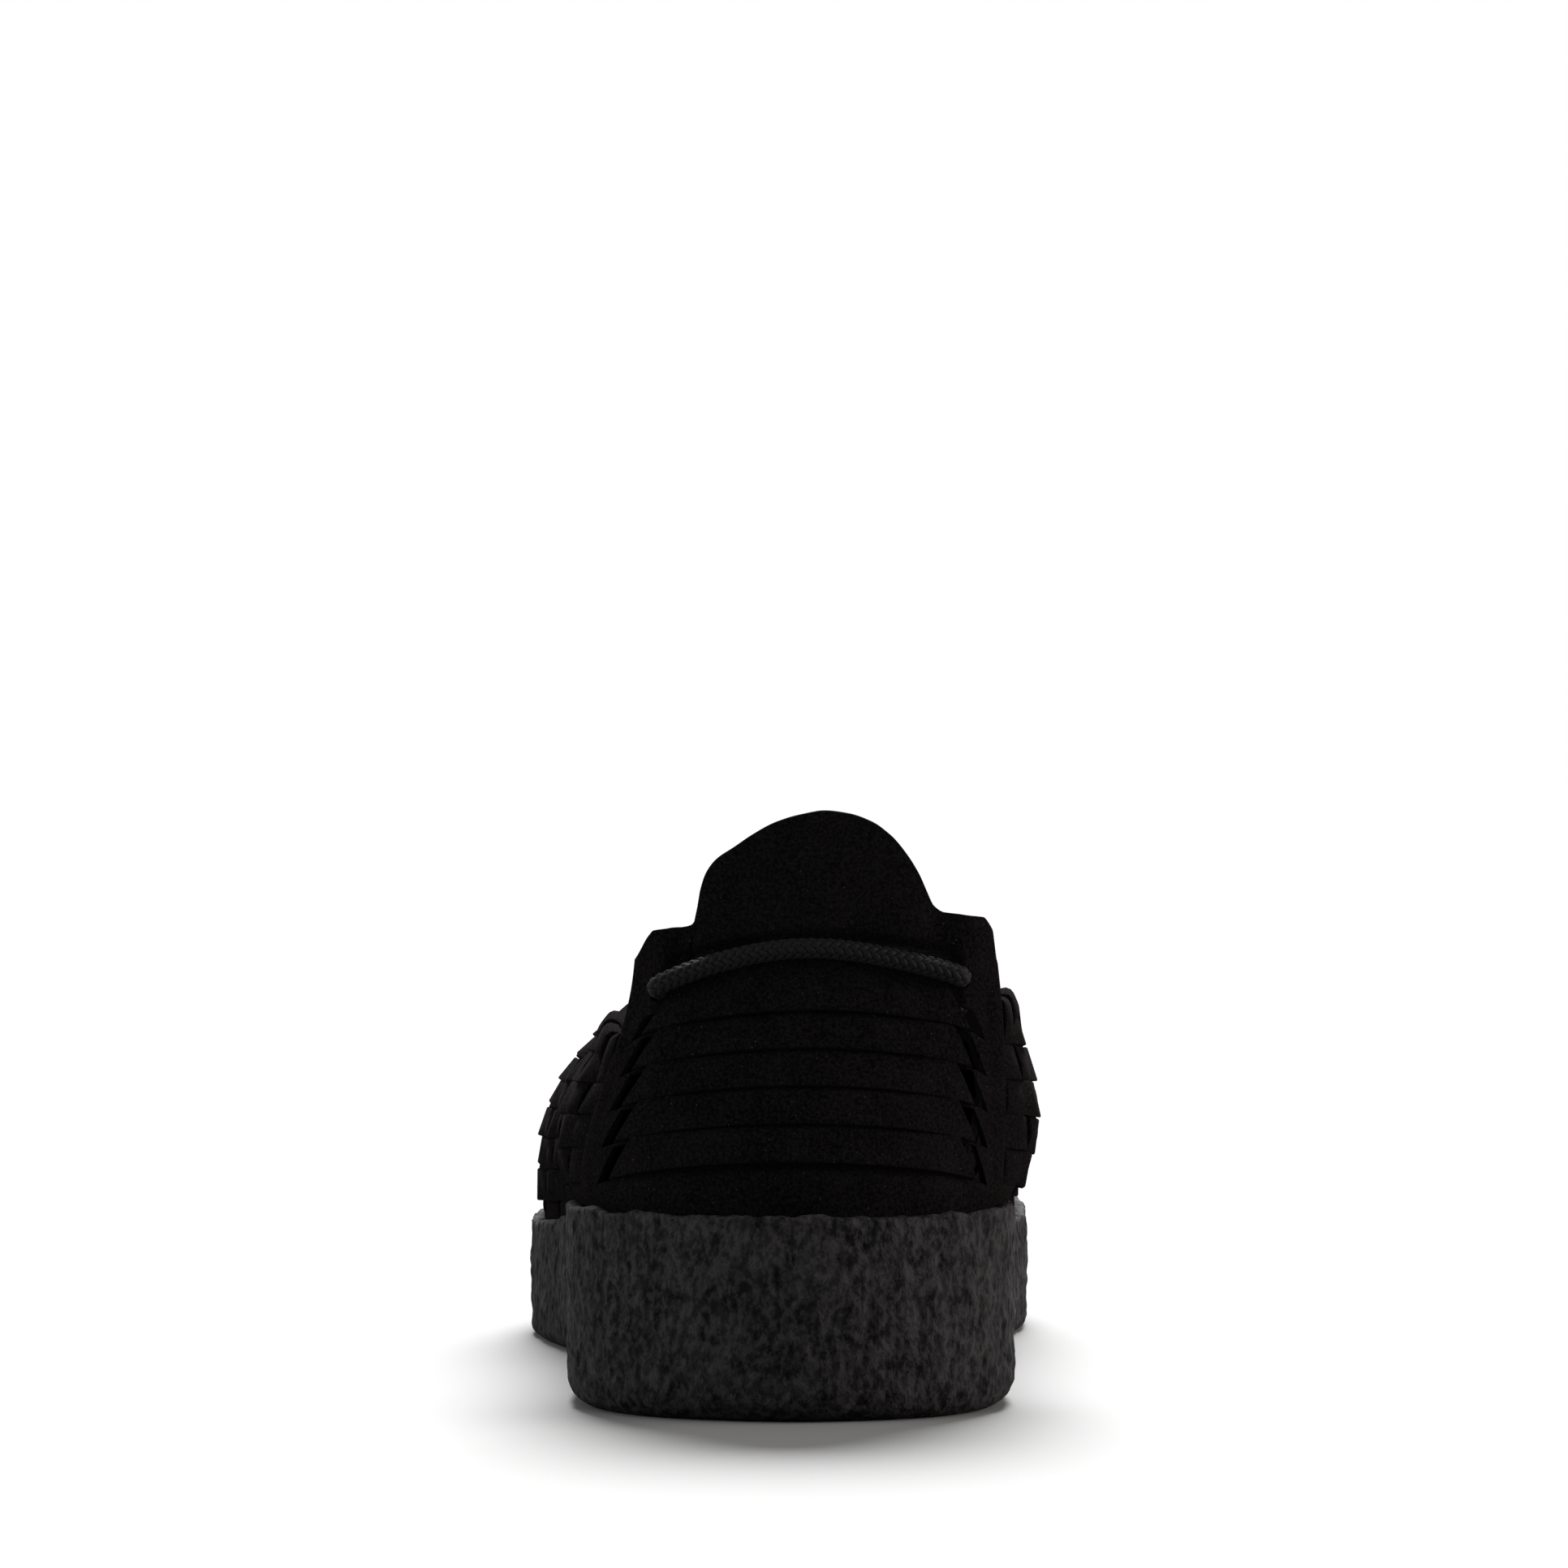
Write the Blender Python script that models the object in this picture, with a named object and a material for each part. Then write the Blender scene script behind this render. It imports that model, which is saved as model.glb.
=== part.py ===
# A left shoe of the huarache kind: a woven slip-on upper with a tall heel tab, on a wrapped crumb-rubber
# sole. It is modelled in metres, +Z up, with the toe towards +Y and the lateral side towards -X.
# Tables hold shares of the named sizes below. "Around" is a share of one side's edge, measured along the
# sole's outline from the middle of the heel's back to the tip of the toe.
import math
from collections import namedtuple

import bmesh
import bpy
import numpy as np

# Sole
LENGTH = 0.282
BALL_WIDTH = 0.099
HEEL_WALL = 0.0355  # height of the sole's wall above the floor at the heel
BALL_WALL = 0.0232
TOE_WALL = 0.0300
TOE_SPRING = 0.0085
ARCH_LIFT = 0.0020
EDGE_ROUND = 0.0090  # height of the rounded lower edge at the heel
EDGE_REACH = 1.2  # how far that edge reaches under the sole, as a share of its height
EDGE_IN = 0.35  # its middle ring: inset and height as shares of the edge's height
EDGE_UP = 0.30
WALL_BULGE = 0.0006
LIP = 0.0026  # thickness of the wall's rim, which stands round the upper's foot
RECESS = 0.0095  # depth of the bed behind that rim

# Upper
LEATHER = 0.0018
CLEARANCE = 0.0003
TAB_RISE = 0.0695  # top of the heel tab above the wall's rim
WING_RISE = 0.0500
SIDE_RISE = 0.0335
THROAT_RISE = 0.0560
HEEL_PANEL = 0.0350  # half the heel panel along the sole's edge
SLIT_BAND = 0.0118  # band of slits beside the panel
POST_WIDTH = 0.0060
UPRIGHT_PITCH = 0.0102
UPRIGHT_WIDTH = 0.0072
FIRST_ROW = 0.0037
ROW_PITCH = 0.00655
PANEL_ARCH = 0.0056  # how far the heel's strips rise in the middle
STRIP_RAISE = 0.0009
STRIP_EDGE = 0.0005
SLIT_SHARE = 0.36  # share of its band's width that a slit opens
SLIT_SLANT = 0.30  # how far a slit leans across its band
SLIT_END = 0.10  # leather left at each end of a slit, as a share of its row
EYELET_EDGE = 0.04  # leather left beside an eyelet, as a share of the band's width
WOVEN_ROWS = 5
HEEL_ROWS = 6
VAMP_ROWS_MOST = 24
RAISED_ROWS_MOST = 11  # above these the vamp's columns are too narrow for raised strips

# Insole and cord
INSOLE_THICKNESS = 0.0045
INSOLE_CUP = 0.0018  # how far its middle lies below its brim
CUP_WIDTH = 0.0072  # width of the slope between them
CORD_DIAMETER = 0.0037
CORD_TAIL = 0.0045  # length of cord behind the leather at each eyelet
CORD_STEP = 0.75  # spacing of the cord's rings, as a share of its diameter
CORD_RISE = 0.0455  # cord's middle above the wall's rim
CORD_DROP = {"lateral": 0.0062, "medial": 0.0054}  # how far it falls to each eyelet

EdgePoint = namedtuple("EdgePoint", "along across")
OUTLINE = (
    EdgePoint(0.000, -0.010),
    EdgePoint(0.030, -0.268),
    EdgePoint(0.082, -0.385),
    EdgePoint(0.150, -0.414),
    EdgePoint(0.270, -0.405),
    EdgePoint(0.380, -0.412),
    EdgePoint(0.480, -0.452),
    EdgePoint(0.560, -0.505),
    EdgePoint(0.640, -0.533),
    EdgePoint(0.740, -0.505),
    EdgePoint(0.840, -0.412),
    EdgePoint(0.925, -0.290),
    EdgePoint(0.981, -0.130),
    EdgePoint(1.000, 0.060),
    EdgePoint(0.981, 0.215),
    EdgePoint(0.925, 0.348),
    EdgePoint(0.840, 0.432),
    EdgePoint(0.740, 0.468),
    EdgePoint(0.660, 0.460),
    EdgePoint(0.560, 0.400),
    EdgePoint(0.460, 0.337),
    EdgePoint(0.370, 0.318),
    EdgePoint(0.270, 0.345),
    EdgePoint(0.160, 0.386),
    EdgePoint(0.080, 0.358),
    EdgePoint(0.028, 0.245),
)
TOE_POINT = 13  # row of OUTLINE at the tip of the toe

# Shares of the three wall heights, the toe spring and the arch along the sole
Level = namedtuple("Level", "along heel ball toe spring arch edge")
LEVELS = (
    Level(0.00, 1.00, 0.00, 0.00, 0.00, 0.00, 1.00),
    Level(0.12, 1.00, 0.00, 0.00, 0.00, 0.00, 1.00),
    Level(0.28, 0.78, 0.22, 0.00, 0.00, 0.00, 0.90),
    Level(0.38, 0.52, 0.48, 0.00, 0.00, 1.00, 0.80),
    Level(0.48, 0.24, 0.76, 0.00, 0.00, 0.00, 0.65),
    Level(0.62, 0.00, 1.00, 0.00, 0.00, 0.00, 0.45),
    Level(0.68, 0.00, 0.97, 0.03, 0.00, 0.00, 0.45),
    Level(0.80, 0.00, 0.70, 0.30, 0.20, 0.00, 0.50),
    Level(0.92, 0.00, 0.22, 0.78, 0.68, 0.00, 0.55),
    Level(1.00, 0.00, 0.00, 1.00, 1.00, 0.00, 0.60),
)

# The collar's loop and the curve of the upper up to it, for each side. "rise" is a share of the rise that
# "of" names. "lean" and "splay" are degrees from upright at the foot and at the collar, outwards. "foot"
# and "head" are how long the curve keeps to them, as shares of the straight way between its ends.
Collar = namedtuple("Collar", "around along across rise of lean splay foot head")
LATERAL = (
    Collar(0.000, 0.030, 0.030, 1.00, "tab", 6, -6, 0.32, 0.40),
    Collar(0.060, 0.032, -0.090, 0.98, "tab", 6, -6, 0.32, 0.40),
    Collar(0.120, 0.044, -0.225, 0.88, "tab", 4, -4, 0.32, 0.40),
    Collar(0.165, 0.075, -0.285, 0.58, "tab", 4, 8, 0.34, 0.36),
    Collar(0.240, 0.165, -0.345, 0.98, "side", 24, 36, 0.36, 0.34),
    Collar(0.350, 0.300, -0.345, 1.02, "side", 22, 40, 0.36, 0.34),
    Collar(0.450, 0.400, -0.335, 1.06, "side", 18, 42, 0.38, 0.36),
    Collar(0.530, 0.472, -0.290, 0.76, "throat", 14, 50, 0.40, 0.38),
    Collar(0.610, 0.522, -0.215, 0.88, "throat", 10, 58, 0.42, 0.40),
    Collar(0.690, 0.548, -0.140, 0.94, "throat", 6, 64, 0.42, 0.42),
    Collar(0.780, 0.562, -0.075, 0.98, "throat", 3, 68, 0.38, 0.42),
    Collar(0.880, 0.569, -0.020, 1.00, "throat", 1, 69, 0.30, 0.42),
    Collar(1.000, 0.571, 0.030, 1.00, "throat", 0, 69, 0.22, 0.42),
)
MEDIAL = (
    Collar(0.000, 0.030, 0.030, 1.00, "tab", 6, -6, 0.32, 0.40),
    Collar(0.060, 0.032, 0.135, 0.98, "tab", 6, -6, 0.32, 0.40),
    Collar(0.120, 0.044, 0.290, 0.88, "tab", 4, -4, 0.32, 0.40),
    Collar(0.165, 0.075, 0.342, 0.60, "tab", 4, 8, 0.34, 0.36),
    Collar(0.240, 0.165, 0.385, 1.10, "side", 26, 26, 0.36, 0.34),
    Collar(0.350, 0.300, 0.345, 1.10, "side", 24, 32, 0.36, 0.34),
    Collar(0.450, 0.400, 0.318, 1.10, "side", 20, 38, 0.38, 0.36),
    Collar(0.530, 0.472, 0.290, 0.78, "throat", 16, 46, 0.40, 0.38),
    Collar(0.610, 0.522, 0.235, 0.89, "throat", 10, 56, 0.42, 0.40),
    Collar(0.690, 0.548, 0.180, 0.95, "throat", 6, 64, 0.42, 0.42),
    Collar(0.780, 0.562, 0.125, 0.98, "throat", 3, 68, 0.38, 0.42),
    Collar(0.880, 0.569, 0.078, 1.00, "throat", 1, 69, 0.30, 0.42),
    Collar(1.000, 0.571, 0.030, 1.00, "throat", 0, 69, 0.22, 0.42),
)

# Top edge of the heel panel, from its middle outwards. "part" is a share of the half panel.
TopEdge = namedtuple("TopEdge", "part rise of")
LATERAL_TOP = (
    TopEdge(0.00, 1.000, "tab"),
    TopEdge(0.20, 0.985, "tab"),
    TopEdge(0.40, 0.940, "tab"),
    TopEdge(0.56, 0.880, "tab"),
    TopEdge(0.66, 0.790, "tab"),
    TopEdge(0.73, 1.020, "wing"),
    TopEdge(0.84, 0.985, "wing"),
    TopEdge(1.00, 0.980, "wing"),
)
MEDIAL_TOP = (
    TopEdge(0.00, 1.000, "tab"),
    TopEdge(0.20, 0.995, "tab"),
    TopEdge(0.40, 0.955, "tab"),
    TopEdge(0.56, 0.880, "tab"),
    TopEdge(0.66, 0.800, "tab"),
    TopEdge(0.73, 1.060, "wing"),
    TopEdge(0.84, 1.035, "wing"),
    TopEdge(1.00, 1.030, "wing"),
)
RISES = {"tab": TAB_RISE, "wing": WING_RISE, "side": SIDE_RISE, "throat": THROAT_RISE}
COLLARS = {"lateral": LATERAL, "medial": MEDIAL}
TOP_EDGES = {"lateral": LATERAL_TOP, "medial": MEDIAL_TOP}
POST_DROP = 0.74  # height of the post's front corner, as a share of the wings' rise
OVER_FIRST = {"lateral": 0, "medial": 1}  # first row that passes over the upright nearest the heel

SAMPLES = 48  # points along each column of the upper when it is measured
EDGE_SAMPLES = 20  # points along each stretch of the outline when it is measured
SIDE_STEP = 0.02  # share of a side over which the surface's slope is taken
EDGE_STEP = 0.0167  # share of a side over which the outline's direction is taken


def smooth_through(keys, values, at):
    """Value at a key of a smooth curve through a table's values, which never swings past them."""
    keys = np.asarray(keys, float)
    values = np.asarray(values, float)
    steps = np.diff(keys)
    slopes = np.diff(values) / steps
    tangents = np.zeros(len(keys))
    tangents[0] = slopes[0]
    tangents[-1] = slopes[-1]
    for i in range(1, len(keys) - 1):
        if slopes[i - 1] * slopes[i] > 0:
            tangents[i] = 2 * slopes[i - 1] * slopes[i] / (slopes[i - 1] + slopes[i])
    at = min(max(at, keys[0]), keys[-1])
    i = min(int(np.searchsorted(keys, at, side="right")) - 1, len(steps) - 1)
    t = (at - keys[i]) / steps[i]
    rise = steps[i] * (tangents[i] * t * (1 - t) ** 2 - tangents[i + 1] * t * t * (1 - t))
    return float(values[i] + (values[i + 1] - values[i]) * t * t * (3 - 2 * t) + rise)


def closed_curve(points):
    """Dense points of a smooth closed curve through the given ones, and the index of each given one."""
    points = np.asarray(points, float)
    count = len(points)
    gaps = np.sqrt(np.linalg.norm(np.roll(points, -1, axis=0) - points, axis=1))
    found = []
    for i in range(count):
        before, here, after, later = (points[(i + k) % count] for k in (-1, 0, 1, 2))
        a, b, c = gaps[i - 1], gaps[i], gaps[(i + 1) % count]
        start = b * ((here - before) / a - (after - before) / (a + b) + (after - here) / b)
        end = b * ((after - here) / b - (later - here) / (b + c) + (later - after) / c)
        for t in np.arange(EDGE_SAMPLES) / EDGE_SAMPLES:
            blend = t * t * (3 - 2 * t)
            found.append(
                here + (after - here) * blend + start * t * (1 - t) ** 2 - end * t * t * (1 - t)
            )
    return np.array(found)


def outline_sides():
    """For each side: points from the heel's middle to the toe's tip, and how far along each one is."""
    placed = [(p.across * BALL_WIDTH, p.along * LENGTH) for p in OUTLINE]
    dense = closed_curve(placed)
    toe = TOE_POINT * EDGE_SAMPLES
    sides = {}
    runs = {"lateral": dense[: toe + 1], "medial": np.vstack([dense[toe:], dense[:1]])[::-1]}
    for side, run in runs.items():
        lengths = np.linalg.norm(np.diff(run, axis=0), axis=1)
        sides[side] = (run, np.concatenate([[0.0], np.cumsum(lengths)]))
    return sides


SIDES = outline_sides()


def side_length(side):
    return float(SIDES[side][1][-1])


def on_outline(side, arc):
    run, reached = SIDES[side]
    return np.array([np.interp(arc, reached, run[:, k]) for k in (0, 1)])


def edge_at(side, arc):
    """Place on the sole's outline, that far from the heel's middle, and the outward direction there."""
    place = on_outline(side, arc)
    length = side_length(side)
    step = length * EDGE_STEP
    low = max(arc - step, 0)
    high = min(arc + step, length)
    along = on_outline(side, high) - on_outline(side, low)
    if low == 0 or high == length:
        # The two sides meet square to the shoe's length.
        share = min(arc, length - arc) / step
        flat = np.array([np.sign(along[0]) * np.linalg.norm(along), 0.0])
        along = along * share + flat * (1 - share)
    along /= np.linalg.norm(along)
    outward = np.array([-along[1], along[0]]) if side == "lateral" else np.array([along[1], -along[0]])
    return place, outward


def level(name, y):
    return smooth_through([r.along for r in LEVELS], [getattr(r, name) for r in LEVELS], y / LENGTH)


def ground_height(y):
    return level("spring", y) * TOE_SPRING + level("arch", y) * ARCH_LIFT


def rim_height(y):
    return level("heel", y) * HEEL_WALL + level("ball", y) * BALL_WALL + level("toe", y) * TOE_WALL


def inset_edge(side, arc, inset):
    place, outward = edge_at(side, arc)
    return place - outward * inset


UPPER_INSET = LIP + CLEARANCE
INSOLE_INSET = UPPER_INSET + LEATHER + CLEARANCE


def collar_at(side, around):
    """Collar point of the column that starts at this share of the side, and its curve's settings."""
    rows = COLLARS[side]
    keys = [r.around for r in rows]
    across = smooth_through(keys, [r.across for r in rows], around) * BALL_WIDTH
    y = smooth_through(keys, [r.along for r in rows], around) * LENGTH
    heights = [rim_height(r.along * LENGTH) + r.rise * RISES[r.of] for r in rows]
    z = smooth_through(keys, heights, around)
    settings = {
        name: smooth_through(keys, [getattr(r, name) for r in rows], around)
        for name in ("lean", "splay", "foot", "head")
    }
    return np.array([across, y, z]), settings


def column_points(side, around):
    """Points up one column of the upper's outer face, from the bed of the sole to the collar."""
    arc = around * side_length(side)
    _, outward = edge_at(side, arc)
    x, y = inset_edge(side, arc, UPPER_INSET)
    foot = np.array([x, y, rim_height(y)])
    top, s = collar_at(side, around)
    near = collar_at(side, max(around - SIDE_STEP, 0.0))[0]
    far = collar_at(side, min(around + SIDE_STEP, 1.0))[0]
    along = far[:2] - near[:2]
    if around < SIDE_STEP or around > 1 - SIDE_STEP:
        share = min(around, 1 - around) / SIDE_STEP
        along = along * share + np.array([np.sign(along[0]) * np.linalg.norm(along), 0.0]) * (1 - share)
    along = along / np.linalg.norm(along)
    away = np.array([-along[1], along[0]]) if side == "lateral" else np.array([along[1], -along[0]])
    way = np.linalg.norm(top - foot)
    lean = math.radians(s["lean"])
    splay = math.radians(s["splay"])
    rise = np.array([*(outward * math.sin(lean)), math.cos(lean)]) * way * s["foot"]
    fall = np.array([*(away * math.sin(splay)), -math.cos(splay)]) * way * s["head"]
    t = np.linspace(0, 1, SAMPLES)[:, None]
    curve = (
        foot * (1 - t) ** 3
        + (foot + rise) * 3 * t * (1 - t) ** 2
        + (top + fall) * 3 * t * t * (1 - t)
        + top * t**3
    )
    bed = np.array([x, y, foot[2] - RECESS + CLEARANCE])
    return np.vstack([bed, curve])


class Column:
    """One column of the upper, measured from the wall's rim upwards."""

    def __init__(self, side, around):
        self.side = side
        self.around = around
        self.points = column_points(side, around)
        steps = np.linalg.norm(np.diff(self.points, axis=0), axis=1)
        self.reached = np.concatenate([[0.0], np.cumsum(steps)]) - steps[0]
        self.length = float(self.reached[-1])

    def at(self, distance):
        return np.array([np.interp(distance, self.reached, self.points[:, k]) for k in range(3)])

    def distance_at_height(self, z):
        return float(np.interp(z, self.points[:, 2], self.reached))


def neighbour_points(column):
    """The columns just before and after, towards the heel and towards the toe."""
    low = max(column.around - SIDE_STEP / 2, 0.0)
    high = min(column.around + SIDE_STEP / 2, 1.0)
    return Column(column.side, low), Column(column.side, high)


def outward_at(column, beside, distance):
    """Direction square to the upper's face at this distance up the column."""
    up = column.at(distance + 0.0005) - column.at(distance - 0.0005)
    if distance <= 0:
        _, flat = edge_at(column.side, column.around * side_length(column.side))
        return np.array([flat[0], flat[1], 0.0])
    low, high = beside
    share = distance / column.length
    along = high.at(share * high.length) - low.at(share * low.length)
    if column.around == 0 or column.around == 1:
        along = np.array([np.sign(along[0]) * np.linalg.norm(along), 0.0, 0.0])
    normal = np.cross(along, up)
    if column.side == "lateral":
        normal = -normal
    return normal / np.linalg.norm(normal)


Line = namedtuple("Line", "side around then")


def side_lines(side):
    """Lines across which the upper's columns of faces meet on one side, and what follows each one."""
    length = side_length(side)
    parts = [row.part for row in TOP_EDGES[side]]
    lines = [(part * HEEL_PANEL, "panel") for part in parts]
    lines[-1] = (HEEL_PANEL, "slits")
    start = HEEL_PANEL + SLIT_BAND
    lines.append((start, "post"))
    start += POST_WIDTH
    count = int((length - start) / UPRIGHT_PITCH)
    if count % 2 == OVER_FIRST[side]:
        count -= 1
    pitch = (length - start - UPRIGHT_WIDTH / 2) / (count + 0.5)
    for i in range(count + 1):
        lines.append((start + i * pitch, f"gap{i}"))
        if i < count:
            lines.append((start + i * pitch + pitch - UPRIGHT_WIDTH, f"upright{i}"))
    lines.append((length - UPRIGHT_WIDTH / 2, f"upright{count}"))
    lines.append((length, ""))
    return [Line(side, arc / length, then) for arc, then in lines]


def top_of(column):
    """How far up its column the upper is cut."""
    arc = column.around * side_length(column.side)
    rim = rim_height(0.0)
    post_end = HEEL_PANEL + SLIT_BAND + POST_WIDTH
    if arc >= post_end:
        return column.length
    rows = TOP_EDGES[column.side]
    if arc <= HEEL_PANEL:
        heights = [rim + r.rise * RISES[r.of] for r in rows]
        return column.distance_at_height(smooth_through([r.part for r in rows], heights, arc / HEEL_PANEL))
    wing = rim + rows[-1].rise * WING_RISE
    corner = rim + POST_DROP * WING_RISE
    share = max(0.0, (arc - HEEL_PANEL - SLIT_BAND) / POST_WIDTH)
    return column.distance_at_height(wing + (corner - wing) * share)


def row_start(column, row):
    """Distance up the column at which a row of strips starts. The heel's strips rise in the middle."""
    arc = column.around * side_length(column.side)
    arch = max(0.0, 1 - (arc / (HEEL_PANEL + SLIT_BAND)) ** 2) * PANEL_ARCH
    return FIRST_ROW + (row - 1) * ROW_PITCH + arch


class Skin:
    """The upper's mesh: its columns of points, outside and inside, and the faces between them."""

    def __init__(self):
        self.mesh = bmesh.new()
        self.raised = []
        self.slits = []

    def column(self, line):
        column = Column(line.side, line.around)
        beside = neighbour_points(column)
        top = top_of(column)
        arc = line.around * side_length(line.side)
        starts = [row_start(column, row) for row in range(1, VAMP_ROWS_MOST)]
        starts = [s for s in starts if s < top - 0.4 * ROW_PITCH]
        in_panel = line.then == "panel"
        distances = [column.reached[0], 0.0] + starts + [top]
        outer_low, outer_high, inner = [], [], []
        for k, distance in enumerate(distances):
            place = column.at(distance)
            normal = outward_at(column, beside, distance)
            low = self.mesh.verts.new(place)
            high = low
            if in_panel and 1 < k <= WOVEN_ROWS + 1 and k < len(distances) - 1:
                fade = math.sqrt(max(0.0, 1 - (arc / HEEL_PANEL) ** 4))
                high = self.mesh.verts.new(place + normal * STRIP_RAISE * fade)
            outer_low.append(low)
            outer_high.append(high)
            inner.append(self.mesh.verts.new(place - normal * LEATHER))
        return outer_low, outer_high, inner

    def face(self, corners):
        kept = [v for i, v in enumerate(corners) if v is not corners[i - 1]]
        return self.mesh.faces.new(kept) if len(kept) > 2 else None

    def stitch(self, left, right):
        """Triangles between the ends of two columns that hold different numbers of rows."""
        i = j = 0
        while i < len(left) - 1 or j < len(right) - 1:
            if j == len(right) - 1 or (i < len(left) - 1 and (i + 1) * len(right) <= (j + 1) * len(left)):
                self.face([left[i], left[i + 1], right[j]])
                i += 1
            else:
                self.face([left[i], right[j + 1], right[j]])
                j += 1

    def between(self, left, right, then, side):
        """All faces between two neighbouring columns of the loop."""
        rows = min(len(left[0]), len(right[0])) - 2
        hole_rows, raised_rows = set(), set()
        if then.startswith("gap"):
            first = (int(then[3:]) + OVER_FIRST[side]) % 2
            hole_rows = {k + 1 for k in range(1, WOVEN_ROWS) if k % 2 == first and k + 1 < rows}
        elif then.startswith("upright"):
            first = (int(then[7:]) + OVER_FIRST[side]) % 2
            raised_rows = {k + 1 for k in range(1, min(rows - 1, RAISED_ROWS_MOST)) if k % 2 == first}
        elif then == "slits":
            hole_rows = set(range(2, HEEL_ROWS + 2))
        for k in range(rows):
            outer = [left[1][k], left[0][k + 1], right[0][k + 1], right[1][k]]
            inner = [right[2][k], right[2][k + 1], left[2][k + 1], left[2][k]]
            if k in hole_rows and then != "slits":
                for a in range(4):
                    b = (a + 1) % 4
                    self.face([outer[a], outer[b], inner[3 - b], inner[3 - a]])
            elif k in hole_rows:
                self.slit(outer, inner, side, k == HEEL_ROWS + 1)
            else:
                made = self.face(outer)
                self.face(inner)
                if k in raised_rows and made is not None and len(made.verts) == 4:
                    self.raised.append(made)
            if k:
                self.face([left[0][k], left[1][k], right[1][k], right[0][k]])
        above_left = [left[1][rows], *left[0][rows + 1 :]]
        above_right = [right[1][rows], *right[0][rows + 1 :]]
        self.stitch(above_left, above_right)
        if rows:
            self.face([left[0][rows], left[1][rows], right[1][rows], right[0][rows]])
        self.stitch(right[2][rows:], left[2][rows:])
        self.face([left[0][-1], left[2][-1], right[2][-1], right[0][-1]])
        self.face([left[2][0], left[0][0], right[0][0], right[2][0]])

    def slit(self, outer, inner, side, eyelet):
        """A cell with a slanting slit cut through it, or the wider upright hole of an eyelet."""
        inner = inner[::-1]
        narrow = EYELET_EDGE if eyelet else (1 - SLIT_SHARE) / 2
        end = EYELET_EDGE if eyelet else SLIT_END
        slant = 0.0 if eyelet else SLIT_SLANT if side == "lateral" else -SLIT_SLANT
        corners = []
        for u, v in ((narrow, end), (narrow, 1 - end), (1 - narrow, 1 - end), (1 - narrow, end)):
            leaning = u + slant * (0.5 - v)
            corners.append((min(max(leaning, EYELET_EDGE), 1 - EYELET_EDGE), v))
        rings = []
        for quad in (outer, inner):
            a, b, c, d = (p.co.copy() for p in quad)
            ring = []
            for u, v in corners:
                near = a * (1 - v) + b * v
                far = d * (1 - v) + c * v
                ring.append(self.mesh.verts.new(near * (1 - u) + far * u))
            rings.append(ring)
        for i in range(4):
            j = (i + 1) % 4
            self.face([outer[i], outer[j], rings[0][j], rings[0][i]])
            self.face([inner[j], inner[i], rings[1][i], rings[1][j]])
            self.face([rings[0][i], rings[0][j], rings[1][j], rings[1][i]])


def shoe_lines():
    """The lines of the whole loop: from the heel up the lateral side to the toe and back down the other."""
    lateral = side_lines("lateral")
    medial = side_lines("medial")
    back = []
    for i in range(len(medial) - 1, 0, -1):
        back.append(Line("medial", medial[i].around, medial[i - 1].then))
    return lateral[:-1] + back


LINES = shoe_lines()


def new_object(name, mesh, material):
    data = bpy.data.meshes.new(name)
    mesh.to_mesh(data)
    mesh.free()
    made = bpy.data.objects.new(name, data)
    bpy.context.scene.collection.objects.link(made)
    data.materials.append(material)
    data.shade_smooth()
    data.set_sharp_from_angle(angle=math.radians(35))
    return made


def new_material(name, color, roughness):
    material = bpy.data.materials.new(name)
    material.use_nodes = True
    shader = material.node_tree.nodes["Principled BSDF"]
    shader.inputs["Base Color"].default_value = (*color, 1)
    shader.inputs["Roughness"].default_value = roughness
    shader.inputs["Metallic"].default_value = 0.0
    return material


def build_upper(material):
    skin = Skin()
    columns = [skin.column(own_line(line)) for line in LINES]
    for i, line in enumerate(LINES):
        skin.between(columns[i], columns[(i + 1) % len(LINES)], line.then, line.side)
    bmesh.ops.recalc_face_normals(skin.mesh, faces=skin.mesh.faces)
    bmesh.ops.inset_individual(skin.mesh, faces=skin.raised, thickness=STRIP_EDGE, depth=STRIP_RAISE)
    bmesh.ops.triangulate(skin.mesh, faces=skin.mesh.faces)
    return new_object("upper", skin.mesh, material)


def own_line(line):
    """The line with what follows it on its own side, by which its ledges are known."""
    for own in side_lines(line.side):
        if own.around == line.around:
            return own
    return line


def ring_of(mesh, inset, height):
    """A ring of points round the shoe at an inset and a height, both given as functions of the length."""
    ring = []
    for line in LINES:
        arc = line.around * side_length(line.side)
        y = edge_at(line.side, arc)[0][1]
        x, y = inset_edge(line.side, arc, inset(y))
        ring.append(mesh.verts.new((x, y, height(y))))
    return ring


def join_rings(mesh, low, high):
    for i in range(len(low)):
        j = (i + 1) % len(low)
        mesh.faces.new([low[i], low[j], high[j], high[i]])


def cap(mesh, ring, turned):
    """Closes a ring with rungs from its lateral to its medial side."""
    turn = [i for i, line in enumerate(LINES) if line.side == "medial"][0]
    lateral = ring[1:turn]
    medial = ring[turn + 1 :][::-1]
    left = [ring[0], *lateral, ring[turn]]
    right = [ring[0], *medial, ring[turn]]
    i = j = 0
    while i < len(left) - 1 or j < len(right) - 1:
        ahead = j == len(right) - 1 or (i < len(left) - 1 and left[i + 1].co.y <= right[j + 1].co.y)
        corners = [left[i], left[i + 1], right[j]] if ahead else [left[i], right[j + 1], right[j]]
        i, j = (i + 1, j) if ahead else (i, j + 1)
        corners = [v for k, v in enumerate(corners) if v is not corners[k - 1]]
        if len(corners) == 3:
            mesh.faces.new(corners[::-1] if turned else corners)


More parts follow.
